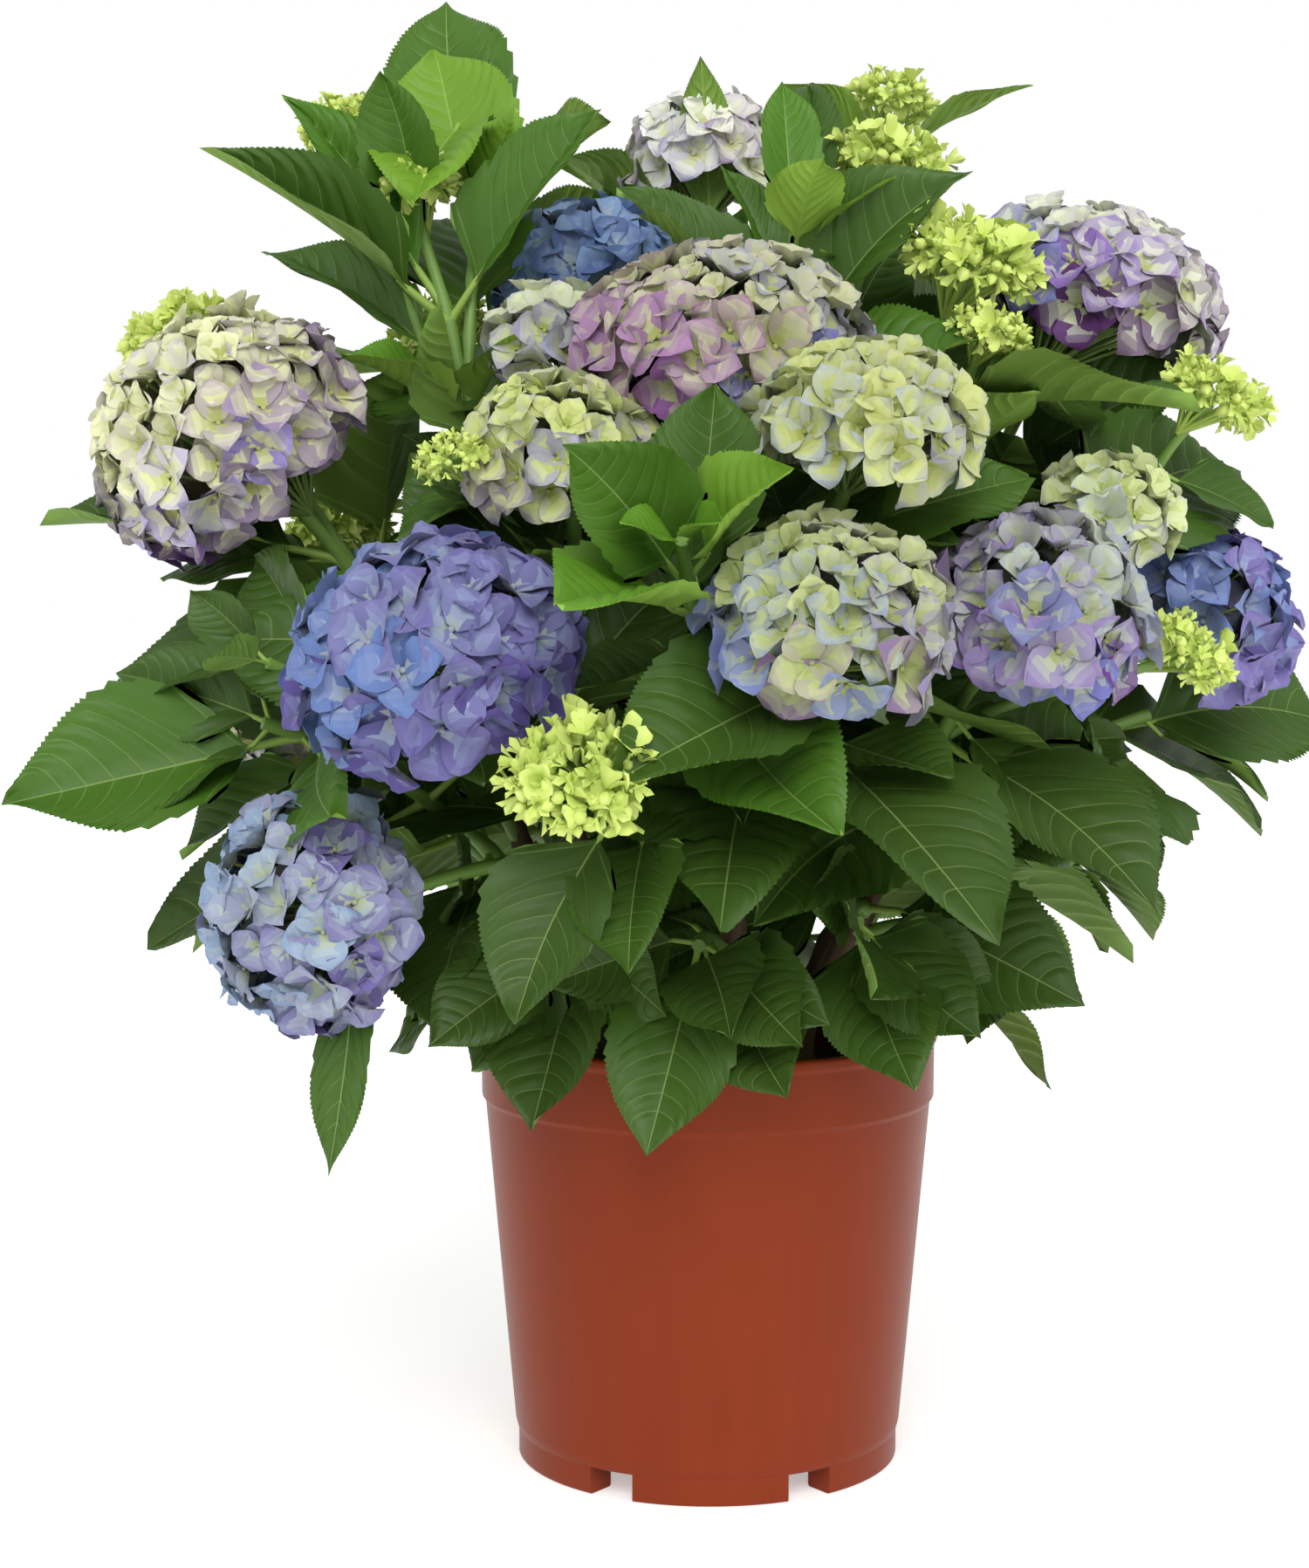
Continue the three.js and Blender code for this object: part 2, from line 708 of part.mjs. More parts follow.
// Gives each shoot its cane: the highest goes on from the cane's tip, the others leave lower down.
function giveCanes(shoots, canes) {
  for (const shoot of shoots) {
    const main = shoot.twigs[0];
    const ringIndex = main.reach < INNER_REACH ? 1 : 0;
    const near = canes.filter((cane) => cane.ringIndex === ringIndex);
    const side = main.caneBearing ?? main.bearing;
    shoot.cane = near.reduce((a, b) => (apart(b.bearing, side) < apart(a.bearing, side) ? b : a));
    shoot.cane.shoots.push(shoot);
  }
  for (const cane of canes) {
    cane.shoots.sort((a, b) => b.twigs[0].height - a.twigs[0].height);
    cane.shoots.forEach((shoot, i) => (shoot.from = 1 - i * SHOOT_STEP));
  }
}

function twigCurve(start, heading, twig, bow) {
  const end = place(twig.bearing, twig.reach, twig.height);
  const axis = end.clone().sub(HEART).normalize();
  const span = end.distanceTo(start);
  twig.axis = axis;
  twig.end = end;
  const way = end.clone().sub(start).normalize();
  const leave = heading.clone().lerp(way, 0.5).normalize();
  const aside = place(twig.bearing + 90, bow, 0);
  return new THREE.CubicBezierCurve3(
    start,
    start.clone().addScaledVector(leave, span * STEM_EASE).add(aside),
    end.clone().addScaledVector(axis, -span * STEM_EASE).add(aside),
    end,
  );
}

const stemSteps = (curve) => Math.max(2, Math.round(curve.getLength() / STEM_STEP));

// The stems and heads of a shoot, without its leaves.
function shootFrame(shoot, seed, bow) {
  const { cane, from, twigs } = shoot;
  const start = cane.curve.getPointAt(from);
  const heading = cane.curve.getTangentAt(from);
  let solid = null;
  twigs.forEach((twig, i) => {
    const main = twigs[0].curve;
    const point = i ? main.getPointAt(FORK_AT) : start;
    twig.curve = twigCurve(point, i ? main.getTangentAt(FORK_AT) : heading, twig, bow);
    const radius = STEM_RADIUS * (i ? SIDE_TWIG_SHARE : 1);
    const taper = (share) => radius * (1 - STEM_TAPER * share);
    const stem = rod(twig.curve, stemSteps(twig.curve), STEM_SIDES, taper);
    solid = solid ? solid.add(stem) : stem;
    if (twig.kind === "bloom") solid = solid.add(bloomSolid(twig, seed + i));
    if (twig.kind === "buds") solid = solid.add(budSolid(twig, seed + i));
  });
  return mainBody(solid.subtract(caneSolid(cane, CLEAR)));
}

const boxOf = (solid) => {
  const { min, max } = solid.boundingBox();
  return new THREE.Box3(new THREE.Vector3(...min), new THREE.Vector3(...max));
};

// Whether a solid is clear of every obstacle.
const isClear = (solid, box, obstacles) =>
  obstacles.every(
    (other) => !other.box.intersectsBox(box) || solid.intersect(other.solid).volume() < TOUCH_VOLUME,
  );

// ---- assembly ----
const material = (color, roughness) => new THREE.MeshStandardMaterial({ color, roughness });
const potMaterial = material(0xa24a2c, 0.35);
const compostMaterial = material(0x2a1d16, 0.95);
const barkMaterial = material(0x8a6a4c, 0.85);
const foliageMaterial = material(0x4a7a33, 0.6);

const plant = new THREE.Group();
const obstacles = [];
function addPiece(name, solid, pieceMaterial) {
  plant.add(meshOf(name, solid, pieceMaterial));
  obstacles.push({ name, solid, box: boxOf(solid) });
}

addPiece("pot", potSolid(), potMaterial);
addPiece("compost", compostSolid(), compostMaterial);

const canes = makeCanes();
canes.forEach((cane, i) => addPiece("cane_" + (i + 1), caneSolid(cane, 0), barkMaterial));

const shoots = allShoots();
giveCanes(shoots, canes);
shoots.forEach((shoot, i) => {
  shoot.seed = i + 1;
  shoot.name = "shoot_" + shoot.name;
  shoot.solid = shootFrame(shoot, shoot.seed, BOWS[shoot.name] ?? 0);
  obstacles.push({ name: shoot.name, solid: shoot.solid, box: boxOf(shoot.solid) });
});

// Grows the leaves that leavesOf gives on every shoot, and leaves out those that touch another piece.
function growLeaves(leavesOf) {
  for (const shoot of shoots) {
    const others = obstacles.filter((other) => other.name !== shoot.name);
    const grown = [];
    shoot.twigs.forEach((twig, i) => {
      for (const leaf of leavesOf(twig, shoot.seed * 7 + i)) {
        const size = SHRINK.find((share) => {
          const trial = leafSolid({ ...leaf, length: leaf.length * share }, LEAF_TEST_MARGIN);
          return isClear(trial, boxOf(trial), others);
        });
        if (size) grown.push(leafSolid({ ...leaf, length: leaf.length * size }));
      }
    });
    for (const solid of grown) obstacles.push({ name: shoot.name, solid, box: boxOf(solid) });
    shoot.solid = wasm.Manifold.union([shoot.solid, ...grown]);
  }
}
growLeaves(placedLeaves);
growLeaves(pairedLeaves);
for (const shoot of shoots) plant.add(meshOf(shoot.name, mainBody(shoot.solid), foliageMaterial));

export default plant;
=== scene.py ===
"""Bigleaf hydrangea shrub in its round nursery pot: every surface finished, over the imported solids.

The shrub grows by the same rule as the solids do: canes rise from the compost, shoots rise from the
canes, and each shoot carries leaves, blooms or buds. The rule is kept in millimetres, +Z up, with the
front facing -Y and the origin on the pot's axis at ground level. Meshes are made in metres.
"""

import bisect
import math
from functools import partial
from types import SimpleNamespace

import bmesh
import bpy
import numpy as np
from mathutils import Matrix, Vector, noise


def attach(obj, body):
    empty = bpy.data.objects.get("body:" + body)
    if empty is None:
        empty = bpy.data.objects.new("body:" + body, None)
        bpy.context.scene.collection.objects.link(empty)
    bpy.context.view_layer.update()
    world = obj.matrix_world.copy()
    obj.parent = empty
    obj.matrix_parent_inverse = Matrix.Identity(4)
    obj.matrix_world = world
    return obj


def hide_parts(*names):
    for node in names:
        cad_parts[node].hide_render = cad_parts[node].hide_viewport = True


bl_info = {
    "name": "Potted Hydrangea",
    "version": (1, 0, 0),
    "blender": (4, 5, 0),
    "location": "View3D > Sidebar > Hydrangea",
    "description": "Gives the solids of a potted hydrangea their leaves, florets, buds, bark and plastic",
    "category": "Object",
}

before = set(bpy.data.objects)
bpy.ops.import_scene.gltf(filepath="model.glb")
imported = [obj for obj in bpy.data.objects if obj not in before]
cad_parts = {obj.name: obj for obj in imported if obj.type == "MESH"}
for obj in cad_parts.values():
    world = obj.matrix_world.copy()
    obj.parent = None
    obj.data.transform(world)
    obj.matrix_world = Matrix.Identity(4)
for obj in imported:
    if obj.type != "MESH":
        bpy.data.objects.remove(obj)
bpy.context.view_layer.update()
MM = 0.001
GOLDEN_ANGLE = 2.39996

# ---- the growth rule: canes ----
UP = Vector((0, 0, 1))
FRONT = Vector((0, -1, 0))
HEART = Vector((0, 0, 300))  # blooms face away from this point
COMPOST_TOP = 191
CLEAR = 0.3  # air between one solid and the next
CANE_RINGS = [
    dict(count=7, turn=8, root_reach=50, tip_reach=98, tip_height=322, root_radius=6.5, tip_radius=4.4),
    dict(count=4, turn=44, root_reach=20, tip_reach=44, tip_height=420, root_radius=7.5, tip_radius=4.6),
]
CANE_UNEVEN = 30  # how much the heights of the canes' tips differ
CANE_RISE = 0.4  # share of its rise that a cane goes straight up at first
CANE_DIP = 0.25  # share of its rise by which the bend below its tip is lower
CANE_LEAN = 0.12  # how far that bend is drawn back to the root
CANE_FLARE = 1.45
FLARE_LENGTH = 0.15  # share of a cane over which its foot is wider
SHOOT_STEP = 0.14  # share of a cane between one shoot and the next
INNER_REACH = 120  # shoots that end nearer to the axis rise from the inner ring

# ---- the growth rule: shoots and leaves ----
STEM_EASE = 0.35  # share of a stem's span that its two bends reach
FORK_AT = 0.5  # share of a shoot's main stem where its side twigs leave it
LEAF_LENGTH = 118
STALK_SHARE = 0.2  # length of a leaf's stalk as a share of its blade's
NODE_SPACING = 46  # between one pair of leaves and the next
INNER_PAIRS = 3  # pairs of leaves further in than the shoots of the solids carry
LAST_PAIR = 0.94  # share of a stem, from its tip down, that carries leaves
PLACED_SAG = 0.12
HANGING_SAG = -0.02
HANGING_BELOW = 10  # a leaf whose tip is this far under its root hangs
FOLD_LEAST = 0.7
FOLD_SPREAD = 0.6
FACE_UP = 0.35  # how far a blade faces up, and out, beside facing along its stem
FACE_OUT = 0.25
BELOW_TIP = 4  # from a leafy tip down to its first pair of leaves
BELOW_BLOOM = 12  # the same from the underside of a bloom, which is a share of its width
BLOOM_UNDERSIDE = 0.3
PAIR_LIFT = 8  # how much further each pair stands off the stem than the pair above it
SAG_LEAST = 0.1
SAG_SPREAD = 0.18
SAG_DROOP = 1.7  # how much less a blade sags by itself where its whole twig droops
TURN_WOBBLE = 30
LIFT_WOBBLE = 16
LENGTH_WOBBLE = 0.16
FACE_WOBBLE = 0.7
YOUNG_SHARES = [0.55, 0.85]  # length of a leafy tip's first pairs as a share of a grown leaf's
DOME_DEPTH = 0.8  # height of a bloom's upper half as a share of its radius
UNDERSIDE_DEPTH = 0.5  # the same for its lower half

# What a twig is where its row says nothing else: its pairs of leaves, their length, the turn of the first
# pair, their angle from the stem, how far they droop and how steeply they may, and the fold of a blade.
TWIG = dict(
    depth=DOME_DEPTH, pairs=3, leaf=LEAF_LENGTH, phase=0, lift=62, droop=0.15, lowest=-0.35, fold=18, to=[],
    cane_bearing=None,
)


def place(bearing, reach, height):
    """A point by its bearing (0 is the front, 90 the right), its distance from the axis and its height."""
    angle = math.radians(bearing)
    return Vector((reach * math.sin(angle), -reach * math.cos(angle), height))


def chance(seed, draw):
    """The same share from 0 to 1 for the same two whole numbers, every time."""
    value = math.sin(seed * 127.1 + draw * 311.7) * 43758.5453
    return value - math.floor(value)


def wobble(seed, draw, size):
    """A chance deviation of up to half a size to either side."""
    return size * (chance(seed, draw) - 0.5)


def swing(first, second, angle, reach=1):
    """The point at an angle from one direction towards another, at a distance."""
    return first * (reach * math.cos(angle)) + second * (reach * math.sin(angle))


def apart(a, b):
    """The difference of two bearings, from 0 to 180 degrees."""
    return abs((a - b + 180) % 360 - 180)


def mix(a, b, share):
    return a + (b - a) * share


class Path:
    """A cubic Bezier curve. A share of its parameter or of its length picks a point on it."""

    DIVISIONS = 200

    def __init__(self, *ends):
        self.ends = ends
        points = [self.point(i / self.DIVISIONS) for i in range(self.DIVISIONS + 1)]
        self.lengths = [0.0]
        for before, after in zip(points, points[1:]):
            self.lengths.append(self.lengths[-1] + (after - before).length)
        self.length = self.lengths[-1]

    def point(self, t):
        a, b, c, d = self.ends
        u = 1 - t
        return a * u**3 + b * (3 * u * u * t) + c * (3 * u * t * t) + d * t**3

    def heading(self, t):
        a, b, c, d = self.ends
        u = 1 - t
        return ((b - a) * (u * u) + (c - b) * (2 * u * t) + (d - c) * (t * t)).normalized()

    def at_length(self, share):
        """The parameter where this share of the length is reached."""
        target = share * self.length
        k = min(bisect.bisect_right(self.lengths, target), self.DIVISIONS) - 1
        step = self.lengths[k + 1] - self.lengths[k]
        return (k + (target - self.lengths[k]) / step) / self.DIVISIONS


def make_canes():
    canes = []
    for ring_index, ring in enumerate(CANE_RINGS):
        for i in range(ring["count"]):
            bearing = ring["turn"] + 360 * i / ring["count"]
            root = place(bearing, ring["root_reach"], COMPOST_TOP + CLEAR)
            tip_height = ring["tip_height"] + wobble(10 * ring_index + i, 1, CANE_UNEVEN)
            end = place(bearing, ring["tip_reach"], tip_height)
            rise = tip_height - root.z
            bend = (end - UP * (rise * CANE_DIP)).lerp(root, CANE_LEAN)
            path = Path(root, root + UP * (rise * CANE_RISE), bend, end)
            cane = SimpleNamespace(ring=ring, index=ring_index, bearing=bearing, path=path, shoots=[])
            canes.append(cane)
    return canes


def twig(kind, bearing, reach, height, width=0, **more):
    """A twig that ends in a bloom, in buds or in a leafy tip."""
    row = dict(kind=kind, bearing=bearing, reach=reach, height=height, width=width)
    return SimpleNamespace(**TWIG | row | more)


bloom, buds, tip = (partial(twig, kind) for kind in ("bloom", "buds", "tip"))

# A row in to is one leaf: where on the twig it is rooted, the bearing, reach and height of its tip, how
# far its face turns to the front, its tone, from 0 for the deepest green to 1 for the youngest lime, and
# its width, as a share of a grown leaf's.
PLACED_SHOOTS = {
    "left": [
        bloom(-75, 234, 502, 132, depth=0.9, to=[[0.7, -81, 325, 465], [0.7, -86, 270, 440]]),
        buds(-93, 266, 560, 54, pairs=0),
    ],
    "top_left": [
        buds(
            -90, 150, 630, 54, pairs=0, fold=50,
            to=[
                [0.78, -73, 250, 640, 1.5, 0.32, 0.62], [0.78, -60, 60, 665, 1.5, 0.32, 0.74],
                [0.93, -81, 161, 684, 2.2, 0.4, 0.95], [0.8, -90, 210, 677, 0.6, 0.5, 0.62],
                [0.6, -68, 187, 545, 0.8, 0.72, 0.9], [0.62, -51, 111, 556, 0.8, 0.66, 0.9],
                [0.68, -75, 156, 537, 1.0, 0.1, 0.9], [0.55, -61, 145, 568, 0.8, 0.2, 0.8],
                [0.5, -79, 152, 510, 1.0, 0.05, 0.9], [0.7, -100, 230, 605, 0.6, 0.4, 0.6],
            ],
        ),
        tip(
            -106, 128, 672, pairs=0, fold=25,
            to=[
                [0.74, -121, 157, 738, 1.8, 0.45, 0.85], [0.66, -108, 145, 707, 1.4, 0.85, 1.05],
                [1.0, -72, 148, 619, 2.2, 0.9, 1.25], [0.72, -88, 95, 670, 1.4, 0.8],
                [0.55, -145, 85, 675, 0, 0.4], [0.4, -128, 150, 630, 0, 0.35],
            ],
        ),
        buds(-108, 197, 672, 42, pairs=0),
    ],
    "violet": [
        bloom(-35, 213, 403, 126, depth=0.85),
        tip(-57, 240, 402, pairs=0, to=[[1, -61, 270, 435], [1, -53, 280, 405], [0.8, -74, 225, 450]]),
    ],
    "low_left": [
        bloom(-52, 224, 290, 108, depth=1, phase=60, pairs=0, to=[[0.86, -49, 230, 171, 1.0, 0.3, 0.45]]),
    ],
    "far_left": [
        tip(
            -70, 225, 372, pairs=1, phase=90,
            to=[
                [0.9, -73, 345, 335, 1.2, 0.38], [0.85, -40, 258, 338, 0.5, 0.4], [0.8, -77, 260, 305],
                [0.95, -78, 290, 395], [0.9, -53, 200, 338, 1.4, 0.25],
                [0.7, -73, 212, 318, 1.2, 0.25, 0.8],
            ],
        ),
    ],
    "centre": [
        bloom(
            3, 96, 548, 132, depth=0.6,
            to=[[0.5, -34, 78, 528, 1.0, 0.05], [0.6, 62, 95, 560, 0.8, 0.1]],
        ),
    ],
    "centre_left": [
        bloom(
            -28, 150, 494, 84,
            to=[[0.7, -49, 180, 485], [0.65, -29, 170, 450], [0.5, -64, 158, 499, 1.0, 0.05]],
        ),
        buds(-38, 186, 494, 34, pairs=0),
    ],
    "blue_behind": [bloom(-126, 76, 590, 94)],
    "pale_behind": [bloom(-60, 86, 550, 66, pairs=1)],
    "top": [
        bloom(
            180, 99, 655, 86, cane_bearing=134, phase=45,
            to=[[0.8, -177, 62, 707, 0, 0.35, 0.45], [0.7, -147, 145, 665], [0.6, 156, 55, 634, 1.0, 0.15]],
        ),
    ],
    "top_centre": [
        tip(
            47, 60, 635, pairs=0, fold=35,
            to=[
                [0.84, 61, 40, 680, 0.9, 0.55, 0.66], [0.8, 28, 108, 632, 0.9, 0.95, 0.9],
                [0.6, -42, 67, 625, 0.7, 0.3, 0.8], [0.55, 66, 136, 632, 0.9, 0.3, 0.9],
                [0.7, 14, 21, 640, 0.6, 0.45, 0.6], [0.8, 60, 105, 630, 0.6, 0.8, 0.7],
                [0.8, 128, 65, 689, 0.4, 0.35, 0.5],
            ],
        ),
    ],
    "top_buds": [
        buds(
            90, 88, 642, 58, pairs=0,
            to=[
                [0.5, 78, 60, 548, 1.2, 0.12, 0.8], [0.5, 72, 150, 560, 1.4, 0.2],
                [0.4, 112, 110, 530, 1.0, 0.05], [0.45, 96, 170, 590, 0.8, 0.2],
                [0.3, 60, 120, 500, 1.2, 0.05], [0.6, 90, 96, 608, 1.0, 0.2],
            ],
        ),
        buds(
            126, 116, 684, 46, pairs=0,
            to=[[0.8, 101, 167, 687, 0.6, 0.42, 0.62], [0.8, 140, 60, 690, 0, 0.5, 0.8]],
        ),
    ],
    "top_right": [
        bloom(
            97, 192, 580, 138, depth=0.55,
            to=[
                [0.6, 92, 247, 545, 1.0, 0.15, 0.8], [0.84, 71, 190, 508, 2.0, 0.1, 0.8],
                [0.6, 84, 200, 470, 1.2, 0.05], [0.45, 59, 173, 482, 1.0, 0.15],
                [0.5, 47, 103, 553, 0.8, 0.25], [0.35, 90, 185, 508, 1.0, 0.08],
                [0.4, 64, 160, 507, 1.0, 0.05],
            ],
        ),
    ],
    "right_buds": [
        buds(62, 138, 588, 62, pairs=1, to=[[0.6, 54, 185, 525]]),
        buds(53, 160, 553, 38, pairs=1),
    ],
    "yellow": [bloom(21, 184, 503, 100, depth=0.7, to=[[0.7, 48, 195, 485], [0.7, 35, 190, 455]])],
    "front_tip": [
        tip(
            -4, 214, 456, pairs=1, leaf=60, lift=35, fold=35,
            to=[
                [0.82, -15, 250, 495, 1.0, 0.5], [0.76, 0, 165, 525, 1.4, 0.35],
                [0.86, 7, 250, 485, 0, 0.8], [0.74, -13, 292, 430, 0, 0.8],
                [0.45, 11, 260, 335, 1.2, 0.45],
            ],
        ),
    ],
    "front": [bloom(13, 214, 418, 104, to=[[0.55, 27, 225, 355]])],
    "front_right": [
        bloom(43, 209, 420, 100, depth=0.95, to=[[0.6, 49, 205, 320]]),
        buds(66, 241, 406, 42, pairs=0),
    ],
    "right": [
        bloom(88, 245, 424, 96, to=[[0.4, 77, 190, 500, 0.8, 0.05]]),
        buds(77, 247, 526, 50, pairs=0, to=[[0.78, 86, 277, 464, 1.0, 0.3, 0.75]]),
    ],
    "right_cream": [bloom(68, 203, 470, 62, pairs=2, cane_bearing=110)],
    "low_buds": [buds(-14, 243, 358, 56, pairs=0, to=[[0.75, -22, 230, 250], [0.6, -9, 240, 275]])],
    "far_right": [
        tip(
            92, 222, 372, pairs=1, phase=90,
            to=[[0.9, 101, 330, 365, 0.9], [0.85, 57, 230, 322, 1.6, 0.2, 1.1], [0.7, 90, 215, 290]],
        ),
    ],
    "skirt_front_left": [
        tip(
            -35, 120, 268, droop=0.5,
            to=[[0.5, -30, 165, 190], [0.8, -45, 158, 212], [0.95, -43, 190, 228]],
        ),
    ],
    "skirt_front": [
        tip(-3, 122, 272, droop=0.4, to=[[0.9, -10, 175, 185], [0.7, 12, 185, 235], [0.8, 2, 190, 240]]),
    ],
    "skirt_front_right": [
        tip(34, 122, 280, droop=0.4, to=[[0.6, 31, 175, 210], [0.8, 41, 185, 232], [0.95, 19, 205, 258]]),
    ],
}

# Tiers of shoots that close the plant from behind.
BACK_TIERS = [
    dict(label="back_low", start=132, stop=257, count=4, reach=200, height=330, width=108),
    dict(label="back_middle", start=126, stop=245, count=4, reach=206, height=446, width=118),
    dict(label="back_upper", start=154, stop=234, count=2, reach=166, height=556, width=102),
]

# Stems that steer aside to clear another one: how far their middle goes to the right.
BOWS = {
    "shoot_top_left": 24,
    "shoot_top_buds": -12,
    "shoot_front": 24,
    "shoot_back_middle_1": 12,
    "shoot_back_middle_4": -12,
    "shoot_back_upper_1": -36,
    "shoot_skirt_2": -12,
}

# Low shoots whose leaves hang over the rim, from the right round the back to the left.
SKIRT = dict(start=64, stop=286, count=6, reach=122, height=272, leaf=120)


def all_shoots():
    shoots = [SimpleNamespace(name=name, twigs=twigs) for name, twigs in PLACED_SHOOTS.items()]
    for tier in BACK_TIERS:
        for i in range(tier["count"]):
            bearing = mix(tier["start"], tier["stop"], i / (tier["count"] - 1))
            wave = 1 if i % 2 else -1
            make = [bloom, bloom, buds][(i + tier["height"]) % 3]
            width = tier["width"] / (2 if make is buds else 1)
            row = make(bearing, tier["reach"] + 8 * wave, tier["height"] + 16 * wave, width, phase=40 * i)
            shoots.append(SimpleNamespace(name=f"{tier['label']}_{i + 1}", twigs=[row]))
    for i in range(SKIRT["count"]):
        bearing = mix(SKIRT["start"], SKIRT["stop"], i / (SKIRT["count"] - 1))
        more = dict(leaf=SKIRT["leaf"], lift=75, droop=0.5, lowest=-0.9, phase=20)
        row = tip(bearing, SKIRT["reach"], SKIRT["height"] + 12 * (i % 2), **more)
        shoots.append(SimpleNamespace(name=f"skirt_{i + 1}", twigs=[row]))
    return shoots


def give_canes(shoots, canes):
    """Gives each shoot its cane: the highest goes on from the cane's tip, the others leave lower down."""
    for shoot in shoots:
        main = shoot.twigs[0]
        wanted = 1 if main.reach < INNER_REACH else 0
        side = main.bearing if main.cane_bearing is None else main.cane_bearing
        near = [cane for cane in canes if cane.index == wanted]
        shoot.cane = min(near, key=lambda cane: apart(cane.bearing, side))
        shoot.cane.shoots.append(shoot)
    for cane in canes:
        cane.shoots.sort(key=lambda shoot: -shoot.twigs[0].height)
        for i, shoot in enumerate(cane.shoots):
            shoot.start = 1 - i * SHOOT_STEP


def twig_path(start, heading, row, bow):
    row.end = place(row.bearing, row.reach, row.height)
    row.axis = (row.end - HEART).normalized()
    span = (row.end - start).length
    way = (row.end - start).normalized()
    leave = heading.lerp(way, 0.5).normalized()
    aside = place(row.bearing + 90, bow, 0)
    first = start + leave * (span * STEM_EASE) + aside
    return Path(start, first, row.end - row.axis * (span * STEM_EASE) + aside, row.end)


def facing_of(stem, outward):
    """The direction of a leaf's upper side: towards the tip of its stem, and a little up and out."""
    return stem + UP * FACE_UP + outward * FACE_OUT


def fold_of(row, seed, draw):
    return row.fold * (FOLD_LEAST + FOLD_SPREAD * chance(seed, draw))


def leaf_to(path, to, fold):
    """A leaf whose tip is at a chosen place."""
    share, bearing, reach, height, front, age, broad = to + [0, None, 1][len(to) - 4 :]
    root = path.point(share)
    target = place(bearing, reach, height)
    length = (target - root).length / (1 + STALK_SHARE)
    sag = PLACED_SAG if height > root.z - HANGING_BELOW else HANGING_SAG
    for _ in range(4):  # the direction depends on the length and the length on the direction
        along = target - root + UP * (sag * length)
        length = along.length / (1 + STALK_SHARE)
    along.normalize()
    outward = Vector((root.x, root.y, 0)).normalized()
    facing = facing_of(path.heading(share), outward) + FRONT * front
    return SimpleNamespace(
        root=root, stalk=along, stalk_length=length * STALK_SHARE, along=along, facing=facing,
        length=length, fold=fold, sag=sag, placed=True, pair=0, age=age, broad=broad,
    )


def paired_leaves(row):
    """The leaves that a twig has by rule: opposite pairs, each a quarter turn from the pair before it."""
    path, seed = row.path, row.seed
    leaves = []
    for pair in range(row.pairs + (INNER_PAIRS if row.pairs else 0)):
        first_below = BELOW_TIP if row.kind == "tip" else BLOOM_UNDERSIDE * row.width + BELOW_BLOOM
        below = first_below + pair * NODE_SPACING
        if below > path.length * LAST_PAIR:
            break
        share = 1 - below / path.length
        root = path.point(share)
        stem = path.heading(share)
        outward = Vector((root.x, root.y, 0)).normalized()
        first = stem.cross(outward).normalized()
        second = first.cross(stem)
        for half in range(2):
            draw = 100 + pair * 10 + half * 5
            turn = math.radians(row.phase + pair * 90 + half * 180 + wobble(seed, draw, TURN_WOBBLE))
            spread = math.radians(row.lift + pair * PAIR_LIFT + wobble(seed, draw + 1, LIFT_WOBBLE))
            stalk = (swing(first, second, turn, math.sin(spread)) + stem * math.cos(spread)).normalized()
            along = stalk - UP * row.droop
            along.z = max(along.z, row.lowest)
            along.normalize()
            young = YOUNG_SHARES[pair] if row.kind == "tip" and pair < len(YOUNG_SHARES) else 1
            length = row.leaf * young * (1 + wobble(seed, draw + 2, LENGTH_WOBBLE))
            aside = along.cross(UP) * wobble(seed, draw + 6, FACE_WOBBLE)
            sag = (SAG_LEAST + SAG_SPREAD * chance(seed, draw + 4)) * (1 - SAG_DROOP * row.droop)
            leaf = SimpleNamespace(
                root=root, stalk=stalk, stalk_length=length * STALK_SHARE, along=along,
                facing=facing_of(stem, outward) + aside, length=length, fold=fold_of(row, seed, draw + 3),
                sag=sag, placed=False, pair=pair, age=None, broad=1,
            )
            leaves.append(leaf)
    return leaves


def grow_plant():
    """The canes, and the shoots with their paths and leaves."""
    canes = make_canes()
    shoots = all_shoots()
    give_canes(shoots, canes)
    for i, shoot in enumerate(shoots):
        shoot.name = "shoot_" + shoot.name
        shoot.seed = i + 1
        for k, row in enumerate(shoot.twigs):
            source, share = (shoot.twigs[0].path, FORK_AT) if k else (shoot.cane.path, shoot.start)
            start = source.at_length(share)
            bow = BOWS.get(shoot.name, 0)
            row.path = twig_path(source.point(start), source.heading(start), row, bow)
            row.seed = shoot.seed * 7 + k
            row.shoot = shoot.name
            folds = [fold_of(row, row.seed, 50 + n) for n in range(len(row.to))]
            row.leaves = [leaf_to(row.path, to, fold) for to, fold in zip(row.to, folds)]
            row.leaves += paired_leaves(row)
    return canes, shoots


CANES, SHOOTS = grow_plant()
TWIGS = [row for shoot in SHOOTS for row in shoot.twigs]
BLOOMS = [row for row in TWIGS if row.kind == "bloom"]


# ---- meshes ----
def link(obj):
    bpy.context.scene.collection.objects.link(obj)
    return obj


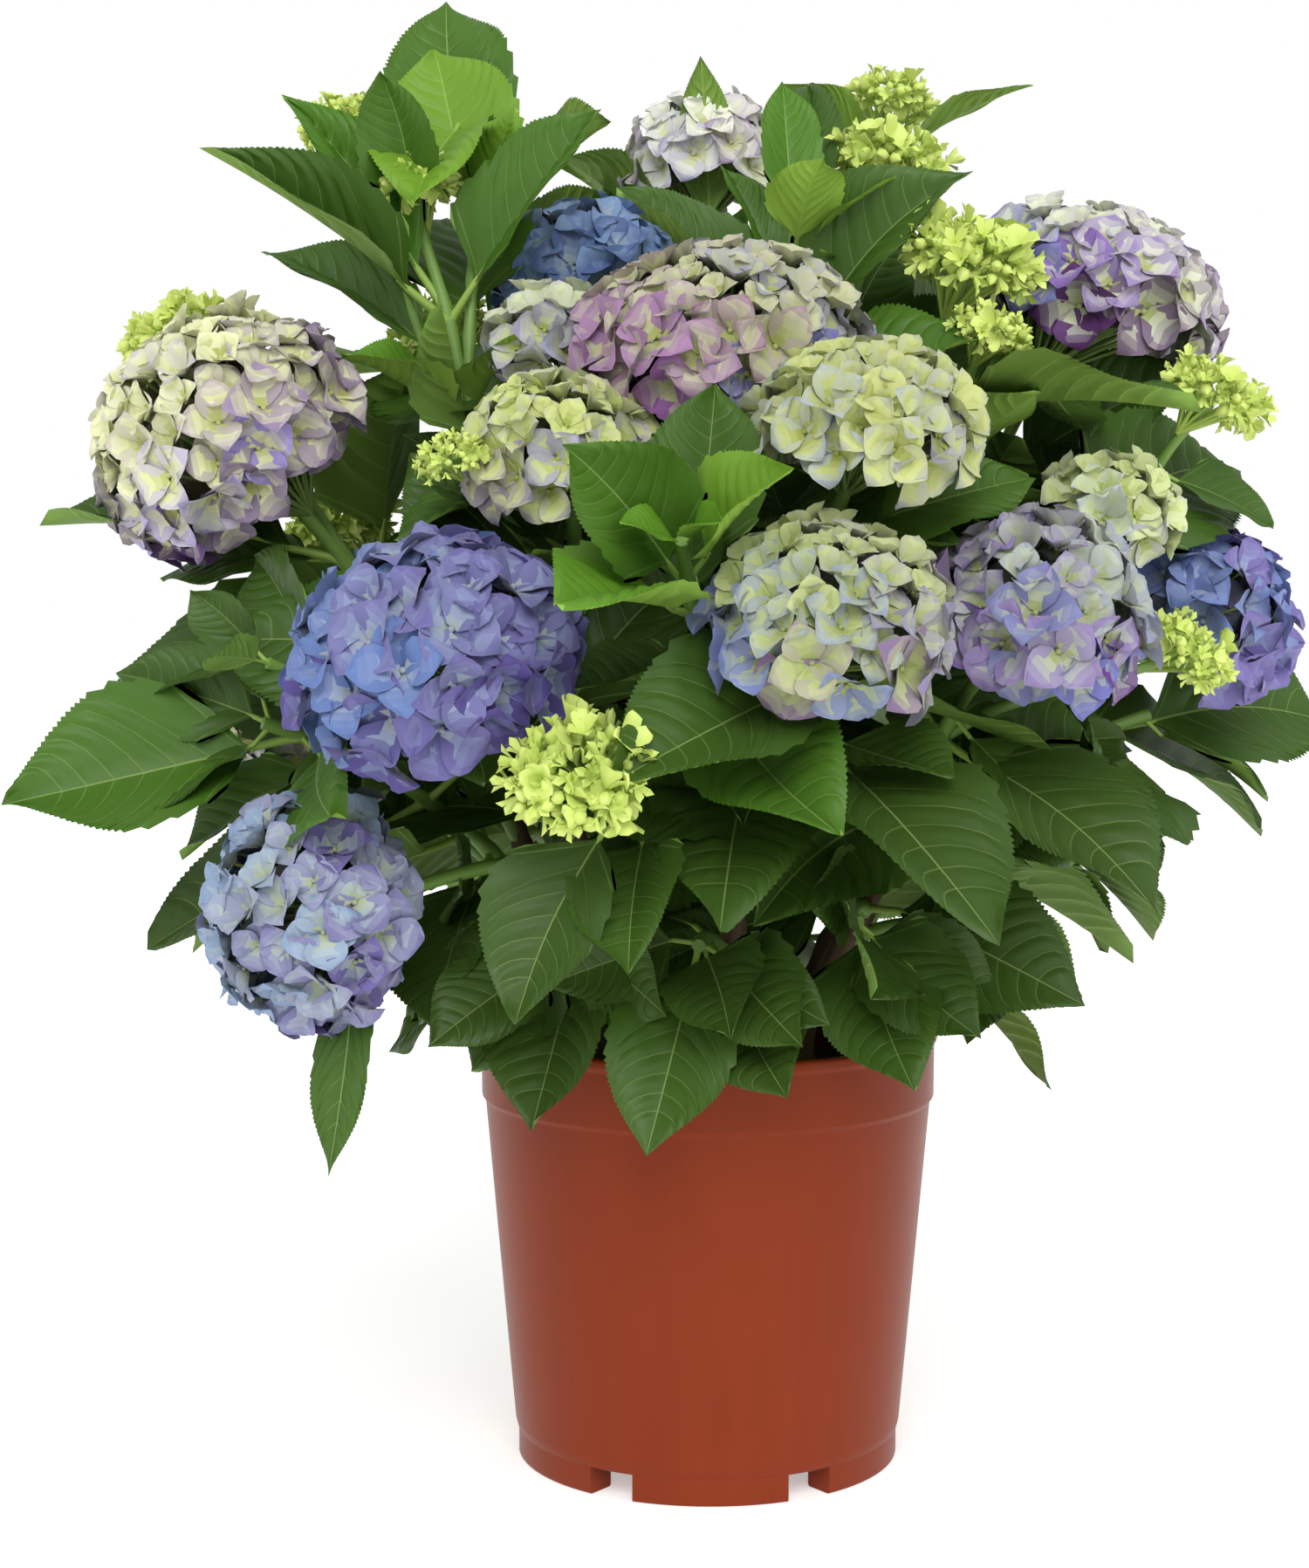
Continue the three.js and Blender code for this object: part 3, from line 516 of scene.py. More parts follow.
def mesh_object(name, points, faces, materials, slots=None):
    """An object from points in millimetres and faces that all have the same number of corners."""
    mesh = bpy.data.meshes.new(name)
    points = np.asarray(points, dtype=np.float32) * MM
    faces = np.asarray(faces, dtype=np.int32)
    count, corners = faces.shape
    mesh.vertices.add(len(points))
    mesh.vertices.foreach_set("co", points.ravel())
    mesh.loops.add(count * corners)
    mesh.loops.foreach_set("vertex_index", faces.ravel())
    mesh.polygons.add(count)
    mesh.polygons.foreach_set("loop_start", np.arange(0, count * corners, corners, dtype=np.int32))
    for material in materials:
        mesh.materials.append(material)
    if slots is not None:
        mesh.polygons.foreach_set("material_index", np.asarray(slots, dtype=np.int32))
    mesh.update()
    mesh.validate()
    mesh.shade_smooth()
    return link(bpy.data.objects.new(name, mesh))


def joined(parts):
    """One set of points and faces from several."""
    firsts = np.cumsum([0] + [len(points) for points, _ in parts])
    faces = [part_faces + first for (_, part_faces), first in zip(parts, firsts)]
    return np.concatenate([points for points, _ in parts]), np.concatenate(faces)


def band_faces(rings, sides):
    """The triangles between one ring of points and the next, along a tube of that many rings."""
    faces = []
    for i in range(rings - 1):
        for k in range(sides):
            a, b = i * sides + k, i * sides + (k + 1) % sides
            faces += [(a, b, b + sides), (a, b + sides, a + sides)]
    return faces


def lathe(profile, sides):
    """A closed surface of revolution round Z, as triangles. Both ends of the profile lie on the axis."""
    inner = np.array(profile[1:-1], dtype=float)
    angle = np.arange(sides) * 2 * math.pi / sides
    ring = np.stack([np.sin(angle), -np.cos(angle)], axis=1)
    flat = inner[:, None, 0, None] * ring[None]
    tall = np.repeat(inner[:, 1], sides).reshape(len(inner), sides, 1)
    points = np.concatenate([flat, tall], axis=2).reshape(-1, 3)
    ends = np.array([[0, 0, profile[0][1]], [0, 0, profile[-1][1]]], dtype=float)
    first, last, top = len(points), len(points) + 1, len(points) - sides
    faces = band_faces(len(inner), sides)
    for k in range(sides):
        after = (k + 1) % sides
        faces += [(first, after, k), (last, top + k, top + after)]
    return np.concatenate([points, ends]), np.array(faces)


# ---- node trees ----
class Value:
    """A socket that can be used in Python expressions."""

    def __init__(self, tree, socket):
        self.tree = tree
        self.socket = socket

    def math(self, operation, *operands, clamp=False):
        settings = {"operation": operation, "use_clamp": clamp}
        return self.tree.add("ShaderNodeMath", settings, dict(enumerate(operands)))

    def __add__(self, other):
        return self.math("ADD", self, other)

    __radd__ = __add__

    def __sub__(self, other):
        return self.math("SUBTRACT", self, other)

    def __rsub__(self, other):
        return self.math("SUBTRACT", other, self)

    def __mul__(self, other):
        return self.math("MULTIPLY", self, other)

    __rmul__ = __mul__

    def clamped(self):
        return self.math("ADD", self, 0.0, clamp=True)


class Tree:
    """A node tree under construction, for a material or for Geometry Nodes."""

    def __init__(self, tree):
        self.tree = tree

    def add(self, kind, settings=None, sockets=None, out=0):
        """Adds a node: its type, its settings, and the values or links of its sockets."""
        node = self.tree.nodes.new(kind)
        for name, value in (settings or {}).items():
            setattr(node, name, value)
        for name, value in (sockets or {}).items():
            socket = self.input_of(node, name)
            if isinstance(value, Value):
                self.tree.links.new(value.socket, socket)
            elif value is not None:
                socket.default_value = value
        outputs = [socket for socket in node.outputs if socket.enabled]
        if isinstance(out, str):
            return Value(self, next(socket for socket in outputs if socket.name == out))
        return Value(self, outputs[out]) if outputs else node

    @staticmethod
    def input_of(node, name):
        if isinstance(name, int):
            return node.inputs[name]
        return next(socket for socket in node.inputs if socket.enabled and socket.name == name)

    def blend(self, share, a, b):
        """Two colours mixed by a share."""
        settings = {"data_type": "RGBA"}
        return self.add("ShaderNodeMix", settings, {0: share, 6: a, 7: b}, out="Result")


def linear(hexadecimal):
    """A colour from its six hexadecimal digits, in linear light."""
    parts = [int(hexadecimal[i : i + 2], 16) / 255 for i in (0, 2, 4)]
    return (*[c / 12.92 if c < 0.04045 else ((c + 0.055) / 1.055) ** 2.4 for c in parts], 1.0)


def shader(name, fixed, made=None):
    """A Principled material. fixed holds plain socket values, and made links what varies."""
    material = bpy.data.materials.new(name)
    material.use_nodes = True
    tree = Tree(material.node_tree)
    principled = material.node_tree.nodes["Principled BSDF"]
    for socket, value in fixed.items():
        principled.inputs[socket].default_value = value
    for socket, value in (made(tree) if made else {}).items():
        material.node_tree.links.new(value.socket, principled.inputs[socket])
    return material


def plain(name, colour, roughness, more=None):
    """A material that is the same all over, for a piece of many small shapes."""
    fixed = {"Base Color": (*colour[:3], 1), "Roughness": roughness}
    return shader(name, fixed | (more or {}))


def grown_mesh(obj, tree, values):
    """Runs a Geometry Nodes tree on an object and keeps the result as its plain mesh."""
    modifier = obj.modifiers.new("Grow", "NODES")
    modifier.node_group = tree
    sockets = {s.name: s.identifier for s in tree.interface.items_tree if s.in_out == "INPUT"}
    for name, value in values.items():
        modifier[sockets[name]] = value
    obj.data.update()
    depsgraph = bpy.context.evaluated_depsgraph_get()
    mesh = bpy.data.meshes.new_from_object(obj.evaluated_get(depsgraph))
    obj.modifiers.remove(modifier)
    obj.data = mesh
    mesh.polygons.foreach_set("material_index", np.zeros(len(mesh.polygons), dtype=np.int32))
    mesh.materials.clear()
    mesh.materials.append(values["Material"])
    return obj


def growth_tree(name, inputs):
    """An empty Geometry Nodes tree with named inputs, as the tree, its inputs and its output node."""
    group = bpy.data.node_groups.new(name, "GeometryNodeTree")
    group.interface.new_socket("Geometry", in_out="INPUT", socket_type="NodeSocketGeometry")
    for label, kind in inputs.items():
        group.interface.new_socket(label, in_out="INPUT", socket_type="NodeSocket" + kind)
    group.interface.new_socket("Geometry", in_out="OUTPUT", socket_type="NodeSocketGeometry")
    tree = Tree(group)
    start = group.nodes.new("NodeGroupInput")
    end = group.nodes.new("NodeGroupOutput")
    given = {socket.name: Value(tree, socket) for socket in start.outputs if socket.name}
    return tree, given, end


def attribute(tree, name, kind="FLOAT"):
    return tree.add("GeometryNodeInputNamedAttribute", {"data_type": kind}, {"Name": name})


def finish_tree(tree, geometry, material, end):
    """Smooths the geometry, gives it its material and ends the tree."""
    smooth = tree.add("GeometryNodeSetShadeSmooth", None, {"Geometry": geometry})
    dressed = tree.add("GeometryNodeSetMaterial", None, {"Geometry": smooth, "Material": material})
    tree.tree.links.new(dressed.socket, end.inputs[0])


def tube_tree():
    """Turns chains of edges into round stalks. The attribute thickness is the radius along them."""
    tree, given, end = growth_tree("stalks along paths", {"Sides": "Int", "Material": "Material"})
    curve = tree.add("GeometryNodeMeshToCurve", None, {"Mesh": given["Geometry"]})
    circle = {"Resolution": given["Sides"], "Radius": 1.0}
    profile = tree.add("GeometryNodeCurvePrimitiveCircle", None, circle)
    sockets = {"Curve": curve, "Profile Curve": profile, "Fill Caps": True}
    sockets["Scale"] = attribute(tree, "thickness")
    tube = tree.add("GeometryNodeCurveToMesh", None, sockets)
    solid = tree.add("GeometryNodeRealizeInstances", None, {"Geometry": tube})
    finish_tree(tree, solid, given["Material"], end)
    return tree.tree


def scatter_tree(form_count):
    """Puts one of several forms on each point, by the point's attributes up, along, size and form."""
    forms = [f"Form {i + 1}" for i in range(form_count)]
    inputs = {form: "Object" for form in forms}
    inputs["Material"] = "Material"
    tree, given, end = growth_tree("forms on points", inputs)
    bundle = tree.tree.nodes.new("GeometryNodeJoinGeometry")
    for form in reversed(forms):
        shape = tree.add("GeometryNodeObjectInfo", None, {"Object": given[form]}, out="Geometry")
        single = tree.add("GeometryNodeGeometryToInstance", None, {"Geometry": shape})
        tree.tree.links.new(single.socket, bundle.inputs[0])
    points = tree.add("GeometryNodeMeshToPoints", None, {"Mesh": given["Geometry"]})
    turn = tree.add(
        "FunctionNodeAxesToRotation",
        {"primary_axis": "Z", "secondary_axis": "X"},
        {0: attribute(tree, "up", "FLOAT_VECTOR"), 1: attribute(tree, "along", "FLOAT_VECTOR")},
    )
    sockets = {
        "Points": points,
        "Instance": Value(tree, bundle.outputs[0]),
        "Pick Instance": True,
        "Instance Index": attribute(tree, "form", "INT"),
        "Rotation": turn,
        "Scale": attribute(tree, "size", "FLOAT_VECTOR"),
    }
    scattered = tree.add("GeometryNodeInstanceOnPoints", None, sockets)
    solid = tree.add("GeometryNodeRealizeInstances", None, {"Geometry": scattered})
    finish_tree(tree, solid, given["Material"], end)
    return tree.tree


# ---- materials ----
def colour_noise(tree, scale, detail=4.0, stretch=(1, 1, 1)):
    """Soft noise from 0 to 1 on Object coordinates, longer along an axis with a smaller stretch."""
    where = tree.add("ShaderNodeTexCoord", None, None, out="Object")
    scaled = tree.add("ShaderNodeMapping", None, {"Vector": where, "Scale": stretch})
    return tree.add("ShaderNodeTexNoise", None, {"Vector": scaled, "Scale": scale, "Detail": detail})


def bumped(tree, height, strength, distance):
    sockets = {"Height": height, "Strength": strength, "Distance": distance}
    return tree.add("ShaderNodeBump", None, sockets)


def pot_material(options):
    def made(tree):
        cloud = colour_noise(tree, 9.0)
        streak = colour_noise(tree, 60.0, stretch=(1, 1, 0.08))
        grain = colour_noise(tree, 900.0, detail=2.0)
        share = (cloud * 0.6 + streak * 0.4).clamped()
        deep = tuple(c * 0.78 for c in options.colour[:3]) + (1,)
        pale = tuple(min(1, c * 1.2 + 0.004) for c in options.colour[:3]) + (1,)
        return {
            "Base Color": tree.blend(share, deep, pale),
            "Roughness": (cloud * 0.16 + streak * 0.08 + 0.25).clamped(),
            "Normal": bumped(tree, grain, 0.12, 0.0004),
        }

    return shader("pot_plastic", {"Specular IOR Level": 0.13}, made)


def compost_material():
    def made(tree):
        fibre = colour_noise(tree, 160.0, detail=8.0, stretch=(1, 0.35, 1))
        crumb = colour_noise(tree, 420.0)
        share = ((fibre * 0.7 + crumb * 0.5) * 1.6 - 0.55).clamped()
        return {
            "Base Color": tree.blend(share, linear("140d0a"), linear("4a3325")),
            "Roughness": (crumb * 0.3 + 0.65).clamped(),
            "Normal": bumped(tree, fibre, 0.8, 0.002),
        }

    return shader("compost", {}, made)


def bark_material():
    def made(tree):
        strips = colour_noise(tree, 90.0, detail=6.0, stretch=(1, 1, 0.12))
        patches = colour_noise(tree, 14.0)
        share = (strips * 1.8 - 0.55).clamped()
        ground = tree.blend(patches, linear("5a4030"), linear("8a6c4f"))
        return {
            "Base Color": tree.blend(share, linear("3b2a20"), ground),
            "Roughness": (strips * 0.3 + 0.6).clamped(),
            "Normal": bumped(tree, strips, 0.7, 0.0015),
        }

    return shader("bark", {}, made)


# ---- pot ----
RIM_RADIUS = 115
RIM_TOP = 216
LEDGE_HEIGHT = 181
BODY_TOP_RADIUS = 111.6
BODY_FOOT_RADIUS = 97
FOOT_HEIGHT = 13
FOOT_RADIUS = 95.6
FOOT_DEPTH = 16
FOOT_COUNT = 6
NOTCH_ANGLE = 14
POT_WALL = 2.2
POT_SIDES = 144
FOOT_STEPS = 12
POT_ROUNDING = 1.2
FOOT_ROUNDING = 1.6
SMOOTH_POT = 35  # largest angle, in degrees, between faces of the pot that shade as one


def body_radius(height):
    return mix(BODY_FOOT_RADIUS, BODY_TOP_RADIUS, (height - FOOT_HEIGHT) / (LEDGE_HEIGHT - FOOT_HEIGHT))


def rounded(profile, radius, steps=3):
    """A profile whose corners between its ends are rounded by short arcs."""
    out = [profile[0]]
    for before, corner, after in zip(profile, profile[1:], profile[2:]):
        corner = np.array(corner, dtype=float)
        arms = [np.array(end, dtype=float) - corner for end in (before, after)]
        reach = [min(radius, 0.45 * np.linalg.norm(arm)) for arm in arms]
        a, b = (corner + arm / np.linalg.norm(arm) * r for arm, r in zip(arms, reach))
        for i in range(steps + 1):
            t = i / steps
            out.append(tuple(a * (1 - t) ** 2 + corner * (2 * t * (1 - t)) + b * t * t))
    return out + [profile[-1]]


def foot_points(bearing):
    """One foot: a short arc of the foot ring with rounded edges, as points and triangles."""
    inside, top = FOOT_RADIUS - FOOT_DEPTH, FOOT_HEIGHT + 1
    section = rounded([(inside, top), (inside, 0), (FOOT_RADIUS, 0), (FOOT_RADIUS, top)], FOOT_ROUNDING)
    half = 180 / FOOT_COUNT - NOTCH_ANGLE / 2
    points = []
    for i in range(FOOT_STEPS + 1):
        angle = bearing + mix(-half, half, i / FOOT_STEPS)
        points += [tuple(place(angle, reach, height)) for reach, height in section]
    size = len(section)
    faces = band_faces(FOOT_STEPS + 1, size)
    end = FOOT_STEPS * size
    for k in range(1, size - 1):
        faces += [(0, k + 1, k), (end, end + k, end + k + 1)]
    return np.array(points), np.array(faces)


def build_pot(options):
    floor = FOOT_HEIGHT + POT_WALL
    bead = options.bead / MM
    profile = rounded(
        [
            (0, FOOT_HEIGHT),
            (FOOT_RADIUS, FOOT_HEIGHT),
            (BODY_FOOT_RADIUS, FOOT_HEIGHT + 5),
            (body_radius(LEDGE_HEIGHT), LEDGE_HEIGHT),
            (BODY_TOP_RADIUS + 1.8, LEDGE_HEIGHT + 1.6),
            (RIM_RADIUS - 1.4, RIM_TOP - bead - 1.5),
            (RIM_RADIUS, RIM_TOP - bead),
            (RIM_RADIUS, RIM_TOP - 1.2),
            (RIM_RADIUS - 1.2, RIM_TOP),
            (RIM_RADIUS - 4.0, RIM_TOP),
            (RIM_RADIUS - 5.4, RIM_TOP - 3),
            (BODY_TOP_RADIUS - POT_WALL, LEDGE_HEIGHT),
            (BODY_FOOT_RADIUS - POT_WALL, floor),
            (0, floor),
        ],
        POT_ROUNDING,
    )
    feet = [foot_points(360 * i / FOOT_COUNT) for i in range(FOOT_COUNT)]
    points, faces = joined([lathe(profile, POT_SIDES)] + feet)
    pot = mesh_object("pot_shell", points, faces, [pot_material(options)])
    pot.data.set_sharp_from_angle(angle=math.radians(SMOOTH_POT))
    recalculated(pot)
    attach(pot, "root")
    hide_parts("pot")


def recalculated(obj):
    """Turns the faces of closed shells outwards."""
    shape = bmesh.new()
    shape.from_mesh(obj.data)
    bmesh.ops.recalc_face_normals(shape, faces=shape.faces)
    shape.to_mesh(obj.data)
    shape.free()


# ---- compost ----
COMPOST_RINGS = 22
COMPOST_SIDES = 96
COMPOST_CROWN = 3  # how much higher the compost lies in its middle
CRUMB_MARGIN = 5
CRUMB_LIFT = 0.6
CRUMB_LEAST = 1.2
CRUMB_SPREAD = 2.6


def build_compost(options):
    floor = FOOT_HEIGHT + POT_WALL + CLEAR
    edge = BODY_TOP_RADIUS - POT_WALL - CLEAR
    profile = [(0, floor), (BODY_FOOT_RADIUS - POT_WALL - CLEAR, floor), (edge, LEDGE_HEIGHT)]
    shares = [1 - i / COMPOST_RINGS for i in range(COMPOST_RINGS)]
    profile += [(edge * share, COMPOST_TOP - COMPOST_CROWN * share) for share in shares]
    profile.append((0, COMPOST_TOP))
    points, faces = lathe(profile, COMPOST_SIDES)
    relief = options.relief / MM
    for point in points:
        if point[2] > LEDGE_HEIGHT + 1 and math.hypot(point[0], point[1]) < edge - 1:
            where = Vector(point)
            point[2] += relief * (noise.noise(where * 0.05) + 0.6 * noise.noise(where * 0.21))
    material = compost_material()
    bed = mesh_object("compost_bed", points, faces, [material])
    recalculated(bed)
    crumbs = scattered_crumbs(options, edge, material)
    for piece in (bed, crumbs):
        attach(piece, "root")
        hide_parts("compost")


def crumb_form(name, seed, long):
    """A chip of bark: a small ball pulled out of shape."""
    mesh = bpy.data.meshes.new(name)
    shape = bmesh.new()
    bmesh.ops.create_icosphere(shape, subdivisions=1, radius=1.0)
    for i, vertex in enumerate(shape.verts):
        vertex.co *= 0.7 + 0.5 * chance(seed, i)
        vertex.co.x *= long
    shape.to_mesh(mesh)
    shape.free()
    return bpy.data.objects.new(name, mesh)


def scattered_crumbs(options, edge, material):
    rows = []
    for i in range(options.crumbs):
        reach = (edge - CRUMB_MARGIN) * math.sqrt(chance(1, i))
        size = (CRUMB_LEAST + CRUMB_SPREAD * chance(5, i) ** 2) * MM
        height = COMPOST_TOP - COMPOST_CROWN * reach / edge + CRUMB_LIFT
        rows.append(
            SimpleNamespace(
                spot=place(360 * chance(2, i), reach, height),
                up=place(360 * chance(3, i), 0.5 * chance(4, i), 1).normalized(),
                along=place(360 * chance(6, i), 1, 0),
                size=(size, size * 0.7, size * 0.5),
                form=i % 3,
            )
        )
    shapes = [crumb_form("crumb", 61, 1.2), crumb_form("chip", 62, 2.6), crumb_form("fibre", 63, 4.5)]
    return scatter("compost_crumbs", rows, shapes, material)


def even_size(length):
    """The same size in millimetres along all three axes of a form, in metres."""
    return Vector((1, 1, 1)) * length * MM


def scatter(name, rows, shapes, material, values=()):
    """A piece made of one of the shapes on each row's spot, which keeps the values named, on its points.

    The shapes are thrown away afterwards.
    """
    mesh = bpy.data.meshes.new(name)
    mesh.from_pydata([Vector(row.spot) * MM for row in rows], [], [])
    for label in ("up", "along", "size"):
        vectors = np.array([getattr(row, label) for row in rows], dtype=np.float32)
        mesh.attributes.new(label, "FLOAT_VECTOR", "POINT").data.foreach_set("vector", vectors.ravel())
    mesh.attributes.new("form", "INT", "POINT").data.foreach_set("value", [row.form for row in rows])
    for label in values:
        numbers = np.array([getattr(row, label) for row in rows], dtype=np.float32)
        mesh.attributes.new(label, "FLOAT", "POINT").data.foreach_set("value", numbers)
    obj = link(bpy.data.objects.new(name, mesh))
    inputs = {f"Form {i + 1}": shape for i, shape in enumerate(shapes)}
    inputs["Material"] = material
    grown_mesh(obj, scatter_tree(len(shapes)), inputs)
    for label in ("up", "along", "size", "form"):
        if label in obj.data.attributes:
            obj.data.attributes.remove(obj.data.attributes[label])
    for shape in shapes:
        bpy.data.objects.remove(shape)
    return obj


# ---- canes ----
CANE_SIDES = 18
CANE_STEPS = 60
KNUCKLE = 1.1  # how much a cane swells where a shoot leaves it
KNUCKLE_LENGTH = 6


def cane_radius(ring, share):
    flare = 1 + (CANE_FLARE - 1) * max(0, 1 - share / FLARE_LENGTH)
    return mix(ring["root_radius"], ring["tip_radius"], share) * flare


def cane_points(cane, seed, relief):
    """One cane with furrowed bark and a swelling where each shoot leaves it, as points and triangles."""
    points = []
    across = cane.path.heading(0).cross(Vector((1, 0.3, 0))).normalized()
    for i in range(CANE_STEPS + 1):
        share = i / CANE_STEPS
        t = cane.path.at_length(share)
        centre = cane.path.point(t)
        heading = cane.path.heading(t)
        across = (across - heading * across.dot(heading)).normalized()
        other = heading.cross(across)
        radius = cane_radius(cane.ring, share)
        for shoot in cane.shoots:
            off = (share - shoot.start) * cane.path.length / KNUCKLE_LENGTH
            radius += KNUCKLE * math.exp(-(off**2))
        for k in range(CANE_SIDES):
            angle = 2 * math.pi * k / CANE_SIDES
            out = swing(across, other, angle)
            furrow = noise.noise(Vector((3 * math.cos(angle), 3 * math.sin(angle), seed + centre.z * 0.03)))
            knot = noise.noise(centre * 0.12 + out * 1.7)
            points.append(centre + out * (radius + relief * (furrow + 0.5 * knot)))
    faces = band_faces(CANE_STEPS + 1, CANE_SIDES)
    top = cane.path.point(1) + cane.path.heading(1) * 1.5
    points += [cane.path.point(0) - UP * 2, top]
    bottom, summit, last = len(points) - 2, len(points) - 1, CANE_STEPS * CANE_SIDES
    for k in range(CANE_SIDES):
        after = (k + 1) % CANE_SIDES
        faces += [(bottom, after, k), (summit, last + k, last + after)]
    return np.array(points), np.array(faces)


def build_canes(options):
    parts = [cane_points(cane, 7.3 * i, options.bark_relief / MM) for i, cane in enumerate(CANES)]
    points, faces = joined(parts)
    piece = mesh_object("bark_canes", points, faces, [bark_material()])
    recalculated(piece)
    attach(piece, "root")
    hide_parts(*[f"cane_{i + 1}" for i in range(len(CANES))])


# ---- stems and stalks ----
STEM_RADIUS = 4.0
TWIG_RADIUS = 3.2
STEM_TAPER = 0.3
JOINT_SWELL = 0.3  # how much thicker a stem is at a pair of leaves
JOINT_LENGTH = 5
BRANCH_RADIUS = 1.0
BRANCH_TAPER = (1.3, 1.0, 0.8)
# Radii along a leaf's stalk: what goes with the leaf's length, and what every stalk has.
STALK_RADII = ((2.9, 0.4), (1.9, 0.3), (1.6, 0.2), (0.7, 0))


def stem_chain(row, is_side, steps=26):
    """A twig's stem, with a swelling at each pair of leaves, as points and radii."""
    radius = TWIG_RADIUS if is_side else STEM_RADIUS
    joints = [(leaf.root - row.end).length for leaf in row.leaves]
    points, radii = [], []
    for i in range(steps + 1):
        t = row.path.at_length(i / steps)
        point = row.path.point(t)
        below = (point - row.end).length
        swell = max([math.exp(-(((below - joint) / JOINT_LENGTH) ** 2)) for joint in joints], default=0)
        points.append(point)
        radii.append(radius * (1 - STEM_TAPER * i / steps) * (1 + JOINT_SWELL * swell))
    return points, radii


def leaf_stalk_chain(leaf):
    """A leaf's stalk, which flares where it clasps the stem and runs on under the blade."""
    base = leaf.root + leaf.stalk * leaf.stalk_length
    share = leaf.length / LEAF_LENGTH
    inner = leaf.root + leaf.stalk * (0.35 * leaf.stalk_length)
    points = [leaf.root, inner, base, base + leaf.along * (0.06 * leaf.length)]
    return points, [grown * share + least for grown, least in STALK_RADII]


def stalk_object(name, chains, sides, material):
    """A piece made of round stalks along chains of points."""
    points, edges, radii = [], [], []
    for chain, widths in chains:
        first = len(points)
        points += [point * MM for point in chain]
        radii += [width * MM for width in widths]
        edges += [(first + i, first + i + 1) for i in range(len(chain) - 1)]
    mesh = bpy.data.meshes.new(name)
    mesh.from_pydata(points, edges, [])
    mesh.attributes.new("thickness", "FLOAT", "POINT").data.foreach_set("value", radii)
    obj = link(bpy.data.objects.new(name, mesh))
    grown_mesh(obj, tube_tree(), {"Sides": sides, "Material": material})
    obj.data.attributes.remove(obj.data.attributes["thickness"])
    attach(obj, "root")
    return obj


def build_stems(options):
    chains = [stem_chain(row, k > 0) for shoot in SHOOTS for k, row in enumerate(shoot.twigs)]
    stems = stalk_object("green_stems", chains, 9, plain("stem", options.stem_colour, 0.45))
    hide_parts(*[shoot.name for shoot in SHOOTS])


# ---- leaves ----
VEIN_PAIRS = 7
VEIN_HALF_WIDTH = 0.0032  # as a share of the blade's length
# Share of the way to the edge, and how much the blade swells there.
COLUMNS = ((0.0, 0.1), (0.24, 1.1), (0.46, 0.7), (0.68, 1.05), (0.86, 0.6))
NOTCH = -0.015
TOOTH = 0.055
TOOTH_LEAN = 0.78  # how far a tooth's point leans towards the tip
VEIN_SWEEP = 0.5  # how far forward a side vein runs on its way to the edge
RIPPLE = 0.09  # waves, curl of the edges, bow and sideways bend of a blade, as shares of its size
CURL = 0.24
BOW = 0.05
BEND = 0.08
TONE_COUNT = 8
TONE_FROM = 235  # height at which leaves begin to be younger, and over what height they become lime
TONE_SPAN = 760
PAIR_AGE = 0.05  # how much older each pair is than the pair above it
TIP_AGE = 0.4  # how much younger the first pair of a high leafy tip is
HIGH_TIP = 380
TONE_WOBBLE = 0.16
RIM_MARGIN = (5, 6)  # how far blades by rule stay off the pot's rim, outwards and upwards
LEAF_GLOSS = {"Specular IOR Level": 0.26}

# Half the width of a blade along its length, as a share of its greatest half width.
OUTLINE_ALONG = (0, 0.04, 0.1, 0.18, 0.28, 0.38, 0.48, 0.58, 0.68, 0.77, 0.85, 0.91, 0.96, 1)
OUTLINE_WIDTH = (0, 0.42, 0.68, 0.86, 0.97, 1, 0.985, 0.925, 0.81, 0.64, 0.43, 0.245, 0.1, 0)


def leaf_outline(along):
    return np.interp(along, OUTLINE_ALONG, OUTLINE_WIDTH)


